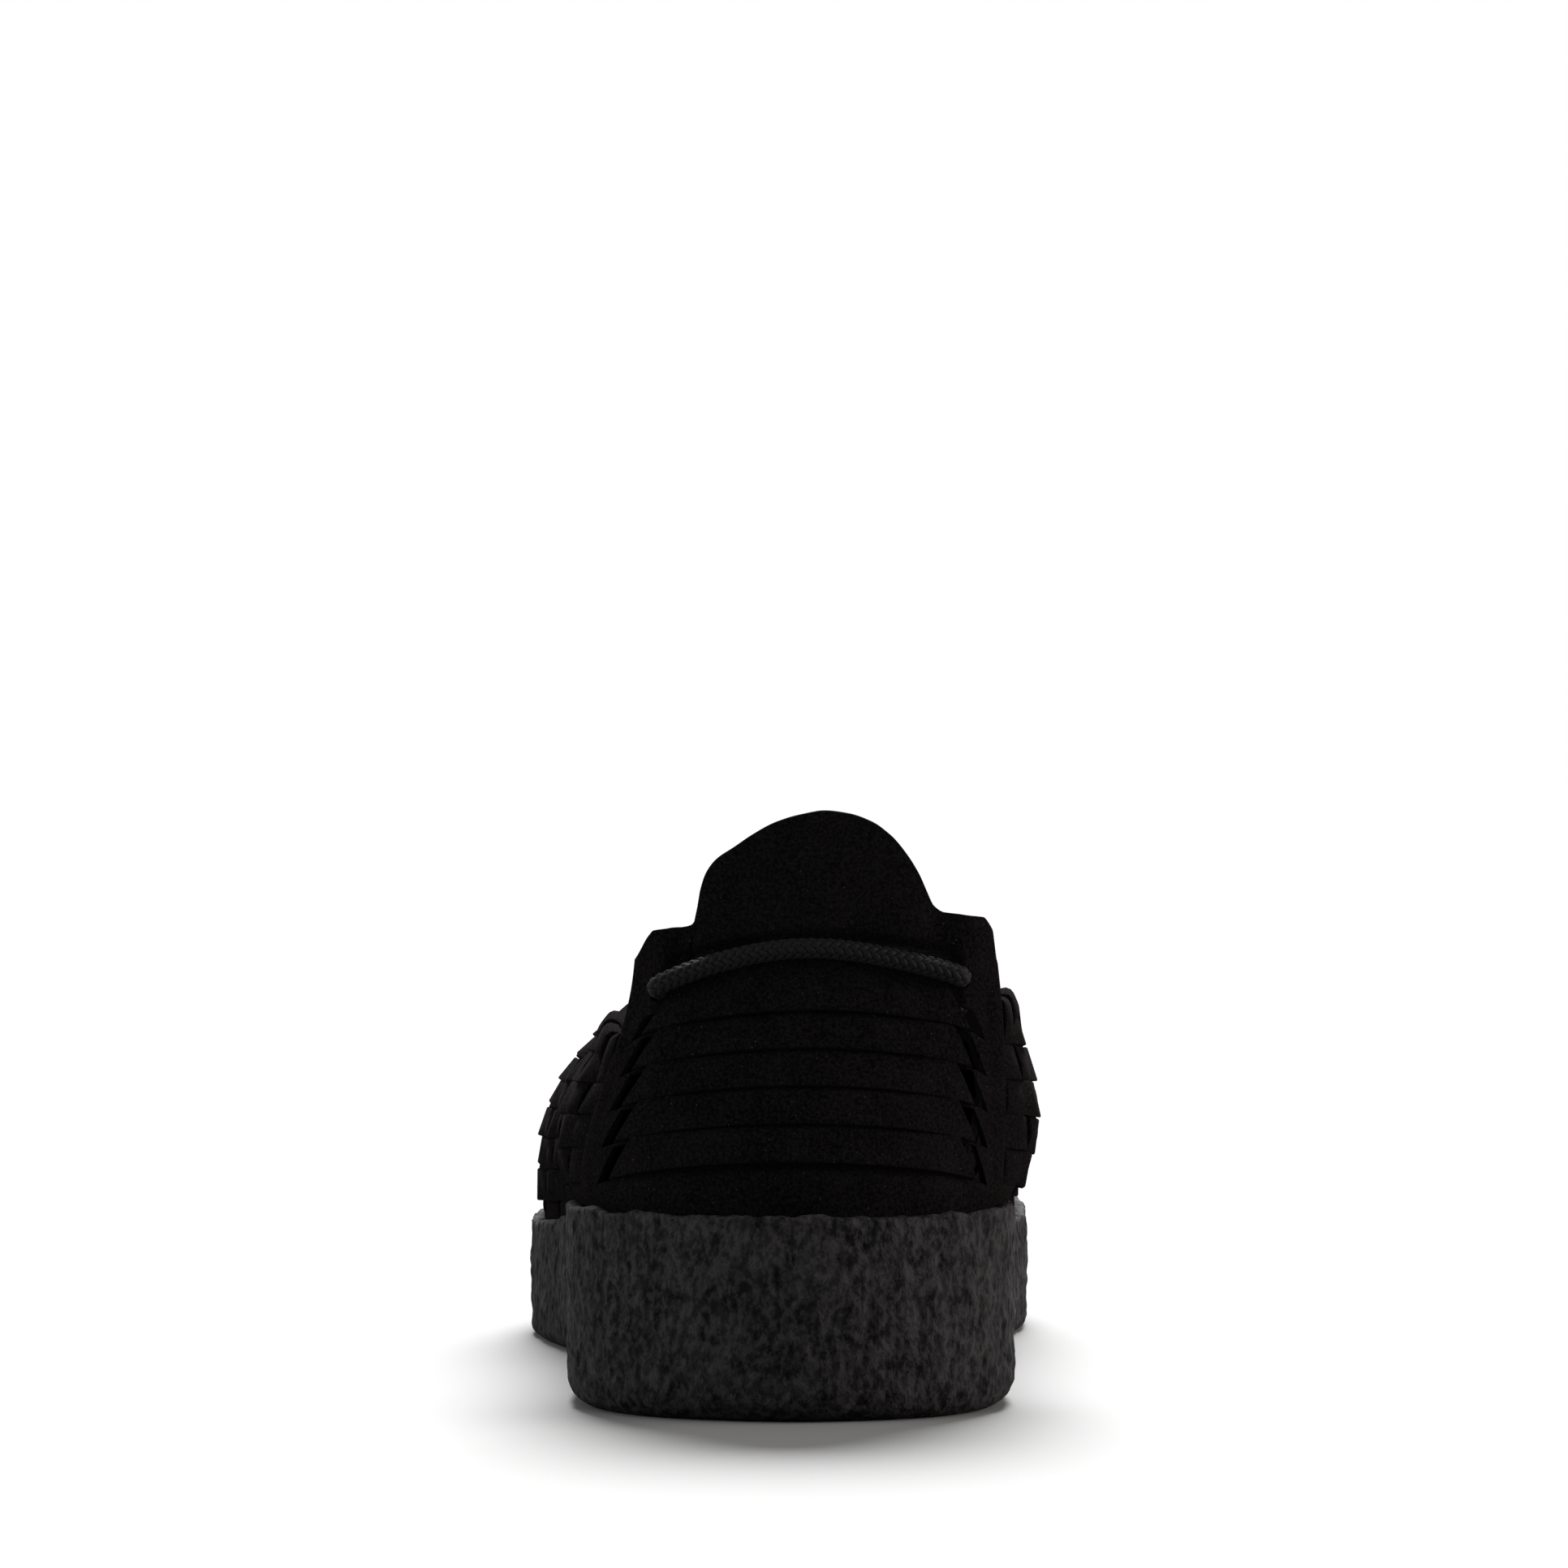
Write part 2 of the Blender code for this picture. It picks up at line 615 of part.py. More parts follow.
def build_outsole(material):
    mesh = bmesh.new()

    def rounding(y):
        return level("edge", y) * EDGE_ROUND

    def bed(y):
        return rim_height(y) - RECESS

    def shoulder(y):
        return ground_height(y) + rounding(y)

    rings = [
        ring_of(mesh, lambda y: rounding(y) * EDGE_REACH, ground_height),
        ring_of(mesh, lambda y: rounding(y) * EDGE_IN, lambda y: ground_height(y) + rounding(y) * EDGE_UP),
        ring_of(mesh, lambda y: 0.0, shoulder),
        ring_of(mesh, lambda y: -WALL_BULGE, lambda y: (shoulder(y) + rim_height(y)) / 2),
        ring_of(mesh, lambda y: 0.0, rim_height),
        ring_of(mesh, lambda y: LIP, rim_height),
        ring_of(mesh, lambda y: LIP, bed),
    ]
    for low, high in zip(rings, rings[1:]):
        join_rings(mesh, low, high)
    cap(mesh, rings[0], True)
    cap(mesh, rings[-1], False)
    bmesh.ops.recalc_face_normals(mesh, faces=mesh.faces)
    bmesh.ops.triangulate(mesh, faces=mesh.faces)
    return new_object("outsole", mesh, material)


def build_insole(material):
    mesh = bmesh.new()

    def under(y):
        return rim_height(y) - RECESS + CLEARANCE

    def brim(y):
        return under(y) + INSOLE_THICKNESS

    rings = [
        ring_of(mesh, lambda y: INSOLE_INSET, under),
        ring_of(mesh, lambda y: INSOLE_INSET, brim),
        ring_of(mesh, lambda y: INSOLE_INSET + CUP_WIDTH, lambda y: brim(y) - INSOLE_CUP),
    ]
    for low, high in zip(rings, rings[1:]):
        join_rings(mesh, low, high)
    cap(mesh, rings[0], True)
    cap(mesh, rings[-1], False)
    bmesh.ops.recalc_face_normals(mesh, faces=mesh.faces)
    bmesh.ops.triangulate(mesh, faces=mesh.faces)
    return new_object("insole", mesh, material)


def cord_point(side, arc, out, drop):
    """A point of the cord, that far outside the heel's face and that far below its middle's height."""
    column = Column(side, arc / side_length(side))
    distance = column.distance_at_height(rim_height(0.0) + CORD_RISE - drop)
    return column.at(distance) + outward_at(column, neighbour_points(column), distance) * out


def build_cord(material):
    """The cord across the heel: out of one eyelet, over the panel and into the other."""
    radius = CORD_DIAMETER / 2
    stand = radius + CLEARANCE + STRIP_RAISE
    corner = HEEL_PANEL + EYELET_EDGE * SLIT_BAND
    turn = (0.5 - EYELET_EDGE) * SLIT_BAND
    eyelet = corner + turn - 3 * CLEARANCE
    points = []
    for side in ("lateral", "medial"):
        edges = [cord_point(side, arc, 0.0, CORD_DROP[side]) for arc in (corner, corner + 2 * turn)]
        half = np.linalg.norm(edges[1] - edges[0]) / 2
        route = [(eyelet, -LEATHER - CORD_TAIL), (eyelet, -LEATHER), (eyelet, 0.0)]
        for degrees in (30, 60):
            bend = math.radians(degrees)
            route.append((corner + turn * math.cos(bend), (half + 3 * CLEARANCE) * math.sin(bend)))
        route.append((corner, stand + 3 * CLEARANCE))
        route += [(share * corner, stand) for share in (0.8, 0.66, 0.52, 0.38, 0.25, 0.12)]
        run = [cord_point(side, arc, out, CORD_DROP[side] * (arc / eyelet) ** 2) for arc, out in route]
        points = run + [cord_point(side, 0.0, stand, 0.0)] if side == "lateral" else points + run[::-1]
    keys = np.concatenate([[0.0], np.cumsum(np.linalg.norm(np.diff(points, axis=0), axis=1))])
    wanted = np.linspace(0, keys[-1], int(keys[-1] / (CORD_STEP * CORD_DIAMETER)))
    smooth = [[smooth_through(keys, np.array(points)[:, k], at) for k in range(3)] for at in wanted]
    data = bpy.data.curves.new("cord", "CURVE")
    data.dimensions = "3D"
    data.bevel_depth = radius
    data.bevel_resolution = 2
    data.use_fill_caps = True
    spline = data.splines.new("POLY")
    spline.points.add(len(smooth) - 1)
    for spot, place in zip(spline.points, smooth):
        spot.co = (*place, 1)
    made = bpy.data.objects.new("cord", data)
    bpy.context.scene.collection.objects.link(made)
    data.materials.append(material)
    return made


def main():
    for old in list(bpy.data.objects):
        bpy.data.objects.remove(old, do_unlink=True)
    suede = new_material("black_suede", (0.012, 0.011, 0.011), 0.95)
    crumb = new_material("crumb_rubber", (0.032, 0.032, 0.035), 0.85)
    lining = new_material("insole_suede", (0.018, 0.017, 0.017), 0.9)
    braid = new_material("braided_cord", (0.022, 0.023, 0.025), 0.7)
    pieces = [build_outsole(crumb), build_insole(lining), build_upper(suede), build_cord(braid)]
    shoe = bpy.data.objects.new("shoe", None)
    bpy.context.scene.collection.objects.link(shoe)
    corners = np.array([v.co for v in pieces[0].data.vertices])
    low, high = corners.min(0), corners.max(0)
    for piece in pieces:
        piece.parent = shoe
    # The origin is on the floor, under the middle of the sole.
    shoe.location = (-(low[0] + high[0]) / 2, -(low[1] + high[1]) / 2, -low[2])


main()
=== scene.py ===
import math

import bpy
import numpy as np
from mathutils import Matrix, Vector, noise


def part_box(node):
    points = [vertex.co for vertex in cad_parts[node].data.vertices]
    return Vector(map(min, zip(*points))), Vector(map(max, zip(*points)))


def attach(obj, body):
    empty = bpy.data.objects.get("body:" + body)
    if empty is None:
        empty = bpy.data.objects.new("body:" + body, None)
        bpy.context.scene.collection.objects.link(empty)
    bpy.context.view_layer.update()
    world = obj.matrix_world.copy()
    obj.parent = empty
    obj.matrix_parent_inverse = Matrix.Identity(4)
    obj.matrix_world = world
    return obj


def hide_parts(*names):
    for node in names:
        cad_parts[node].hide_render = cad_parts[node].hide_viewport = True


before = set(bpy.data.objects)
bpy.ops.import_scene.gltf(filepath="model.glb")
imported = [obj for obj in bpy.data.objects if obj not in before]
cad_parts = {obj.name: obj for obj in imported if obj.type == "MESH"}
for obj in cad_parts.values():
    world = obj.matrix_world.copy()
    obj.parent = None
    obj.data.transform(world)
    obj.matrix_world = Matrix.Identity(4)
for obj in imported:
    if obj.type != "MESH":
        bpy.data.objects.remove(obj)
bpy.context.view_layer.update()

# Camera: level, behind the heel, a long lens
view = {"place": (0.0006, -1.215, 0.1096), "lens": 144.1, "sensor": 36.0}

cameraData = bpy.data.cameras.new("camera")
camera = bpy.data.objects.new("camera", cameraData)
bpy.context.scene.collection.objects.link(camera)
cameraData.lens = view["lens"]
cameraData.sensor_width = view["sensor"]
cameraData.clip_start = 0.01
cameraData.clip_end = 50.0
camera.location = view["place"]
camera.rotation_euler = (math.radians(90), 0, 0)
bpy.context.scene.camera = camera

# The last: sizes in metres; tables hold shares of them.
last = {
    "length": 0.282, "ballWidth": 0.099,
    "heelWall": 0.0355, "ballWall": 0.0232, "toeWall": 0.0300, "toeSpring": 0.0085, "archLift": 0.0020,
    "edgeRound": 0.0090, "lip": 0.0026, "recess": 0.0095, "leather": 0.0018, "clearance": 0.0003,
    "heelPanel": 0.0350, "slitBand": 0.0118, "postWidth": 0.0060,
    "uprightPitch": 0.0102, "uprightWidth": 0.0072,
    "firstRow": 0.0037, "rowPitch": 0.00655, "panelArch": 0.0056, "insideAt": -0.06,
}
rises = {"tab": 0.0695, "side": 0.0335, "throat": 0.0560}
# along, across
outline = [
    (0.000, -0.010), (0.030, -0.268), (0.082, -0.385), (0.150, -0.414), (0.270, -0.405), (0.380, -0.412),
    (0.480, -0.452), (0.560, -0.505), (0.640, -0.533), (0.740, -0.505), (0.840, -0.412), (0.925, -0.290),
    (0.981, -0.130), (1.000, 0.060), (0.981, 0.215), (0.925, 0.348), (0.840, 0.432), (0.740, 0.468),
    (0.660, 0.460), (0.560, 0.400), (0.460, 0.337), (0.370, 0.318), (0.270, 0.345), (0.160, 0.386),
    (0.080, 0.358), (0.028, 0.245),
]
toePoint = 13
levelNames = ("along", "heel", "ball", "toe", "spring", "arch", "edge")
levels = [
    (0.00, 1.00, 0.00, 0.00, 0.00, 0.00, 1.00), (0.12, 1.00, 0.00, 0.00, 0.00, 0.00, 1.00),
    (0.28, 0.78, 0.22, 0.00, 0.00, 0.00, 0.90), (0.38, 0.52, 0.48, 0.00, 0.00, 1.00, 0.80),
    (0.48, 0.24, 0.76, 0.00, 0.00, 0.00, 0.65), (0.62, 0.00, 1.00, 0.00, 0.00, 0.00, 0.45),
    (0.68, 0.00, 0.97, 0.03, 0.00, 0.00, 0.45), (0.80, 0.00, 0.70, 0.30, 0.20, 0.00, 0.50),
    (0.92, 0.00, 0.22, 0.78, 0.68, 0.00, 0.55), (1.00, 0.00, 0.00, 1.00, 1.00, 0.00, 0.60),
]
# around, along, across, rise, of, lean, splay, foot, head
collars = {
    "lateral": [
        (0.000, 0.030, 0.030, 1.00, "tab", 6, -6, 0.32, 0.40),
        (0.060, 0.032, -0.090, 0.98, "tab", 6, -6, 0.32, 0.40),
        (0.120, 0.044, -0.225, 0.88, "tab", 4, -4, 0.32, 0.40),
        (0.165, 0.075, -0.285, 0.58, "tab", 4, 8, 0.34, 0.36),
        (0.240, 0.165, -0.345, 0.98, "side", 24, 36, 0.36, 0.34),
        (0.350, 0.300, -0.345, 1.02, "side", 22, 40, 0.36, 0.34),
        (0.450, 0.400, -0.335, 1.06, "side", 18, 42, 0.38, 0.36),
        (0.530, 0.472, -0.290, 0.76, "throat", 14, 50, 0.40, 0.38),
        (0.610, 0.522, -0.215, 0.88, "throat", 10, 58, 0.42, 0.40),
        (0.690, 0.548, -0.140, 0.94, "throat", 6, 64, 0.42, 0.42),
        (0.780, 0.562, -0.075, 0.98, "throat", 3, 68, 0.38, 0.42),
        (0.880, 0.569, -0.020, 1.00, "throat", 1, 69, 0.30, 0.42),
        (1.000, 0.571, 0.030, 1.00, "throat", 0, 69, 0.22, 0.42),
    ],
    "medial": [
        (0.000, 0.030, 0.030, 1.00, "tab", 6, -6, 0.32, 0.40),
        (0.060, 0.032, 0.135, 0.98, "tab", 6, -6, 0.32, 0.40),
        (0.120, 0.044, 0.290, 0.88, "tab", 4, -4, 0.32, 0.40),
        (0.165, 0.075, 0.342, 0.60, "tab", 4, 8, 0.34, 0.36),
        (0.240, 0.165, 0.385, 1.10, "side", 26, 26, 0.36, 0.34),
        (0.350, 0.300, 0.345, 1.10, "side", 24, 32, 0.36, 0.34),
        (0.450, 0.400, 0.318, 1.10, "side", 20, 38, 0.38, 0.36),
        (0.530, 0.472, 0.290, 0.78, "throat", 16, 46, 0.40, 0.38),
        (0.610, 0.522, 0.235, 0.89, "throat", 10, 56, 0.42, 0.40),
        (0.690, 0.548, 0.180, 0.95, "throat", 6, 64, 0.42, 0.42),
        (0.780, 0.562, 0.125, 0.98, "throat", 3, 68, 0.38, 0.42),
        (0.880, 0.569, 0.078, 1.00, "throat", 1, 69, 0.30, 0.42),
        (1.000, 0.571, 0.030, 1.00, "throat", 0, 69, 0.22, 0.42),
    ],
}
# the heel's top edge from the lateral wing over the dome to the medial wing: across, height in mm
topLine = [
    (-34.0, 62.0), (-31.5, 67.0), (-29.6, 73.0), (-28.6, 76.4), (-27.1, 79.6), (-25.9, 83.2), (-25.2, 84.2),
    (-20.6, 84.8), (-19.0, 85.2), (-18.2, 86.2), (-17.8, 88.4), (-17.2, 91.2), (-16.0, 94.4), (-14.2, 96.7),
    (-11.4, 98.6), (-8.2, 100.7), (-4.3, 102.8), (0.2, 104.2), (4.6, 104.9), (8.7, 104.4), (12.7, 103.0),
    (15.9, 100.8), (18.5, 97.8), (20.8, 94.2), (22.5, 90.7), (23.7, 88.5), (25.6, 87.3), (28.4, 86.9), (32.0, 86.5),
    (32.8, 84.0), (33.3, 79.4), (34.0, 76.8), (34.8, 73.7), (36.4, 67.0), (38.5, 62.0),
]


def smoothThrough(keys, values, at):
    # a curve through a table's values that never swings past them
    keys, values, at = np.asarray(keys, float), np.asarray(values, float), np.asarray(at, float)
    steps = np.diff(keys)
    slopes = np.diff(values) / steps
    tangents = np.concatenate([slopes[:1], np.zeros(len(keys) - 2), slopes[-1:]])
    for i in range(1, len(keys) - 1):
        if slopes[i - 1] * slopes[i] > 0:
            tangents[i] = 2 * slopes[i - 1] * slopes[i] / (slopes[i - 1] + slopes[i])
    at = np.clip(at, keys[0], keys[-1])
    i = np.clip(np.searchsorted(keys, at, side="right") - 1, 0, len(steps) - 1)
    t = (at - keys[i]) / steps[i]
    rise = steps[i] * (tangents[i] * t * (1 - t) ** 2 - tangents[i + 1] * t * t * (1 - t))
    return values[i] + (values[i + 1] - values[i]) * t * t * (3 - 2 * t) + rise


def smoothStep(low, high, x):
    t = np.clip((x - low) / (high - low), 0, 1)
    return t * t * (3 - 2 * t)


def closedCurve(points, samples):
    points = np.asarray(points, float)
    count = len(points)
    gaps = np.sqrt(np.linalg.norm(np.roll(points, -1, axis=0) - points, axis=1))
    t = (np.arange(samples) / samples)[:, None]
    blend = t * t * (3 - 2 * t)
    runs = []
    for i in range(count):
        before, here, after, later = (points[(i + k) % count] for k in (-1, 0, 1, 2))
        a, b, c = gaps[i - 1], gaps[i], gaps[(i + 1) % count]
        start = b * ((here - before) / a - (after - before) / (a + b) + (after - here) / b)
        end = b * ((after - here) / b - (later - here) / (b + c) + (later - after) / c)
        runs.append(here + (after - here) * blend + start * t * (1 - t) ** 2 - end * t * t * (1 - t))
    return np.vstack(runs)


edgeSamples = 20
edgePoints = [(across * last["ballWidth"], along * last["length"]) for along, across in outline]
denseEdge = closedCurve(edgePoints, edgeSamples)
toeIndex = toePoint * edgeSamples
edgeRuns = {
    "lateral": denseEdge[: toeIndex + 1],
    "medial": np.vstack([denseEdge[toeIndex:], denseEdge[:1]])[::-1],
}
edgeReach = {
    side: np.concatenate([[0.0], np.cumsum(np.linalg.norm(np.diff(run, axis=0), axis=1))])
    for side, run in edgeRuns.items()
}
sideLength = {side: float(reach[-1]) for side, reach in edgeReach.items()}
edgeStep = 0.0167


def onOutline(side, arc):
    return np.array([np.interp(arc, edgeReach[side], edgeRuns[side][:, k]) for k in (0, 1)])


def edgeAt(side, arc):
    step = sideLength[side] * edgeStep
    low, high = max(arc - step, 0), min(arc + step, sideLength[side])
    along = onOutline(side, high) - onOutline(side, low)
    if low == 0 or high == sideLength[side]:
        share = min(arc, sideLength[side] - arc) / step
        along = along * share + np.array([np.sign(along[0]) * np.linalg.norm(along), 0.0]) * (1 - share)
    along /= np.linalg.norm(along)
    outward = np.array([-along[1], along[0]]) if side == "lateral" else np.array([along[1], -along[0]])
    return onOutline(side, arc), outward


def level(name, y):
    k = levelNames.index(name)
    return smoothThrough([r[0] for r in levels], [r[k] for r in levels], np.asarray(y) / last["length"])


def groundHeight(y):
    return level("spring", y) * last["toeSpring"] + level("arch", y) * last["archLift"]


def rimHeight(y):
    return level("heel", y) * last["heelWall"] + level("ball", y) * last["ballWall"] + level("toe", y) * last["toeWall"]


def collarAt(side, around):
    rows = collars[side]
    keys = [r[0] for r in rows]
    heights = [float(rimHeight(r[1] * last["length"])) + r[3] * rises[r[4]] for r in rows]
    x = smoothThrough(keys, [r[2] for r in rows], around) * last["ballWidth"]
    y = smoothThrough(keys, [r[1] for r in rows], around) * last["length"]
    settings = [float(smoothThrough(keys, [r[k] for r in rows], around)) for k in (5, 6, 7, 8)]
    return np.array([float(x), float(y), float(smoothThrough(keys, heights, around))]), settings


upperInset = last["lip"] + last["clearance"]
slopeStep = 0.02
columnSamples = 48


def columnPoints(side, around):
    place, outward = edgeAt(side, around * sideLength[side])
    x, y = place - outward * upperInset
    foot = np.array([x, y, float(rimHeight(y))])
    top, (lean, splay, footShare, headShare) = collarAt(side, around)
    near, far = collarAt(side, max(around - slopeStep, 0))[0], collarAt(side, min(around + slopeStep, 1))[0]
    along = far[:2] - near[:2]
    if around < slopeStep or around > 1 - slopeStep:
        share = min(around, 1 - around) / slopeStep
        along = along * share + np.array([np.sign(along[0]) * np.linalg.norm(along), 0.0]) * (1 - share)
    along = along / np.linalg.norm(along)
    away = np.array([-along[1], along[0]]) if side == "lateral" else np.array([along[1], -along[0]])
    way = np.linalg.norm(top - foot)
    lean, splay = math.radians(lean), math.radians(splay)
    rise = np.array([*(outward * math.sin(lean)), math.cos(lean)]) * way * footShare
    fall = np.array([*(away * math.sin(splay)), -math.cos(splay)]) * way * headShare
    t = np.linspace(0, 1, columnSamples)[:, None]
    curve = foot * (1 - t) ** 3 + (foot + rise) * 3 * t * (1 - t) ** 2 + (top + fall) * 3 * t * t * (1 - t) + top * t**3
    return np.vstack([[x, y, foot[2] - last["recess"]], curve])


# The last as one grid: around the loop from the heel's middle by the lateral side and the toe, and up each column.
loop = {"columns": 760, "low": -0.009, "high": 0.136, "step": 0.0006}
loopLength = sideLength["lateral"] + sideLength["medial"]
reachUp = np.arange(loop["low"], loop["high"], loop["step"])
lastGrid = np.zeros((loop["columns"], len(reachUp), 3))
collarReach = np.zeros(loop["columns"])
for i in range(loop["columns"]):
    around = i * loopLength / loop["columns"]
    side = "lateral" if around <= sideLength["lateral"] else "medial"
    arc = around if side == "lateral" else loopLength - around
    points = columnPoints(side, arc / sideLength[side])
    steps = np.linalg.norm(np.diff(points, axis=0), axis=1)
    reached = np.concatenate([[0.0], np.cumsum(steps)]) - steps[0]
    collarReach[i] = reached[-1]
    end = (points[-1] - points[-2]) / steps[-1]
    for k in range(3):
        lastGrid[i, :, k] = np.interp(reachUp, reached, points[:, k]) + end[k] * np.maximum(reachUp - reached[-1], 0)
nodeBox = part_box("outsole")
toWorld = np.array([
    (nodeBox[0][0] + nodeBox[1][0]) / 2 - (denseEdge[:, 0].min() + denseEdge[:, 0].max()) / 2,
    (nodeBox[0][1] + nodeBox[1][1]) / 2 - last["length"] / 2, 0.0])
lastGrid += toWorld
lastAround = (np.roll(lastGrid, -1, axis=0) - np.roll(lastGrid, 1, axis=0))
lastUp = np.gradient(lastGrid, axis=1)
lastOut = np.cross(lastUp, lastAround)
lastOut /= np.linalg.norm(lastOut, axis=2)[:, :, None]
for _ in range(6):
    lastOut = (np.roll(lastOut, -1, axis=0) + 2 * lastOut + np.roll(lastOut, 1, axis=0)) / 4
lastOut /= np.linalg.norm(lastOut, axis=2)[:, :, None]
# the woven sides swell past the posts: most, where it is most, how far it spreads, how fast it fades upwards
swell = {"lateral": (0.0017, 0.022, 0.030, 1.9), "medial": (0.0029, 0.020, 0.034, 1.35)}
# the woven collar starts lower than the posts' tops: by how much, and how far round it stays lower
collarDip = {"lateral": (0.0110, 0.030), "medial": (0.0060, 0.024)}
panelEnd = last["heelPanel"] + last["slitBand"]
heelEnd = panelEnd + last["postWidth"]
columnAround = np.arange(loop["columns"]) * loopLength / loop["columns"]
for side in ("lateral", "medial"):
    beyond = (columnAround if side == "lateral" else loopLength - columnAround) - heelEnd
    most, middle, spread, fade = swell[side]
    along = most * np.exp(-((beyond - middle) / spread) ** 2) * smoothStep(-0.001, 0.010, beyond)
    upward = smoothStep(-0.003, 0.004, reachUp) * (1 - fade * smoothStep(0.012, 0.032, reachUp))
    lastGrid += lastOut * (along[:, None] * upward[None, :])[:, :, None]
    most, spread = collarDip[side]
    collarReach -= most * (1 - smoothStep(0.0, spread, beyond)) * (beyond > -last["postWidth"])
print("last laid out:", lastGrid.shape, "loop", round(loopLength, 4))


def readLast(grid, around, up):
    a = np.mod(np.asarray(around, float) / loopLength, 1.0) * loop["columns"]
    b = np.clip((np.asarray(up, float) - loop["low"]) / loop["step"], 0, len(reachUp) - 1.001)
    i, j = np.floor(a).astype(int) % loop["columns"], np.floor(b).astype(int)
    s, t = (a - np.floor(a))[:, None], (b - j)[:, None]
    k = (i + 1) % loop["columns"]
    return (grid[i, j] * (1 - s) + grid[k, j] * s) * (1 - t) + (grid[i, j + 1] * (1 - s) + grid[k, j + 1] * s) * t


def onLast(around, up, out):
    around, up, out = np.broadcast_arrays(around, up, out)
    return readLast(lastGrid, around, up) + readLast(lastOut, around, up) * out[:, None]


def collarUp(around):
    a = np.mod(np.asarray(around, float) / loopLength, 1.0) * loop["columns"]
    i = np.floor(a).astype(int) % loop["columns"]
    s = a - np.floor(a)
    return collarReach[i] * (1 - s) + collarReach[(i + 1) % loop["columns"]] * s


def rowUp(row, arc):
    # the heel's strips rise in the middle
    arch = np.maximum(0, 1 - (arc / panelEnd) ** 2) * last["panelArch"]
    return last["firstRow"] + (row - 1) * last["rowPitch"] + arch


def readPoints(piece):
    points = np.zeros(len(piece.data.vertices) * 3)
    piece.data.vertices.foreach_get("co", points)
    return points.reshape(-1, 3)


def writePoints(piece, points):
    piece.data.vertices.foreach_set("co", np.ascontiguousarray(points, float).ravel())
    piece.data.update()


def newPiece(name):
    piece = bpy.context.object
    piece.name = name
    piece.data.name = name
    return piece


def deselect():
    if bpy.context.object and bpy.context.object.mode == "EDIT":
        bpy.ops.object.mode_set(mode="OBJECT")
    bpy.ops.object.select_all(action="DESELECT")


def chosen(piece):
    deselect()
    piece.select_set(True)
    bpy.context.view_layer.objects.active = piece


def laidGrid(name, across, along, place):
    # a grid whose points are laid where place(u, v) says
    deselect()
    bpy.ops.mesh.primitive_grid_add(x_subdivisions=across, y_subdivisions=along, size=1)
    piece = newPiece(name)
    points = readPoints(piece)
    writePoints(piece, place(points[:, 0] + 0.5, points[:, 1] + 0.5))
    return piece


def applied(piece, kind, **settings):
    chosen(piece)
    modifier = piece.modifiers.new(kind.lower(), kind)
    for key, value in settings.items():
        setattr(modifier, key, value)
    bpy.ops.object.modifier_apply(modifier=modifier.name)
    return piece


def edited(piece, *steps):
    # edit-mode steps on all of a mesh
    chosen(piece)
    bpy.ops.object.mode_set(mode="EDIT")
    bpy.ops.mesh.select_all(action="SELECT")
    for step, settings in steps:
        getattr(bpy.ops.mesh, step)(**settings)
    bpy.ops.object.mode_set(mode="OBJECT")


def smoothed(piece, degrees=40):
    chosen(piece)
    bpy.ops.object.shade_smooth_by_angle(angle=math.radians(degrees))


def joined(pieces, name):
    deselect()
    for piece in pieces:
        piece.select_set(True)
    bpy.context.view_layer.objects.active = pieces[0]
    bpy.ops.object.join()
    return newPiece(name)


def openLoops(piece):
    # the loops of edges that have one face only
    uses = {}
    for face in piece.data.polygons:
        for key in face.edge_keys:
            uses[key] = uses.get(key, 0) + 1
    beside = {}
    for (a, b), count in uses.items():
        if count == 1:
            beside.setdefault(a, []).append(b)
            beside.setdefault(b, []).append(a)
    loops = []
    while beside:
        start = next(iter(beside))
        found, waiting = set(), [start]
        while waiting:
            here = waiting.pop()
            if here in beside:
                found.add(here)
                waiting += beside.pop(here)
        loops.append(found)
    return loops


def closedUp(piece):
    # seams merged, open loops filled one by one, faces turned outwards
    edited(piece, ("remove_doubles", {"threshold": 0.000004}))
    for found in openLoops(piece):
        deselect()
        piece.data.vertices.foreach_set("select", [v in found for v in range(len(piece.data.vertices))])
        uses = [sum(v in found for v in edge.vertices) == 2 for edge in piece.data.edges]
        piece.data.edges.foreach_set("select", uses)
        piece.data.polygons.foreach_set("select", [False] * len(piece.data.polygons))
        chosen(piece)
        bpy.ops.object.mode_set(mode="EDIT")
        bpy.ops.mesh.select_mode(type="EDGE")
        bpy.ops.mesh.fill(use_beauty=True)
        bpy.ops.object.mode_set(mode="OBJECT")
    edited(piece, ("normals_make_consistent", {"inside": False}))


def turnOut(piece):
    # a sheet's faces turned away from the shoe's inside
    face = piece.data.polygons[len(piece.data.polygons) // 2]
    inside = Vector((0.0, last["insideAt"], face.center.z))
    if face.normal.dot(face.center - inside) <= 0:
        edited(piece, ("flip_normals", {}))


def thickened(piece, thick, soft):
    # a sheet made into leather, inwards from its face, with soft edges
    turnOut(piece)
    applied(piece, "SOLIDIFY", thickness=thick, offset=-1.0)
    applied(piece, "BEVEL", width=soft, segments=2, limit_method="ANGLE", angle_limit=math.radians(50))


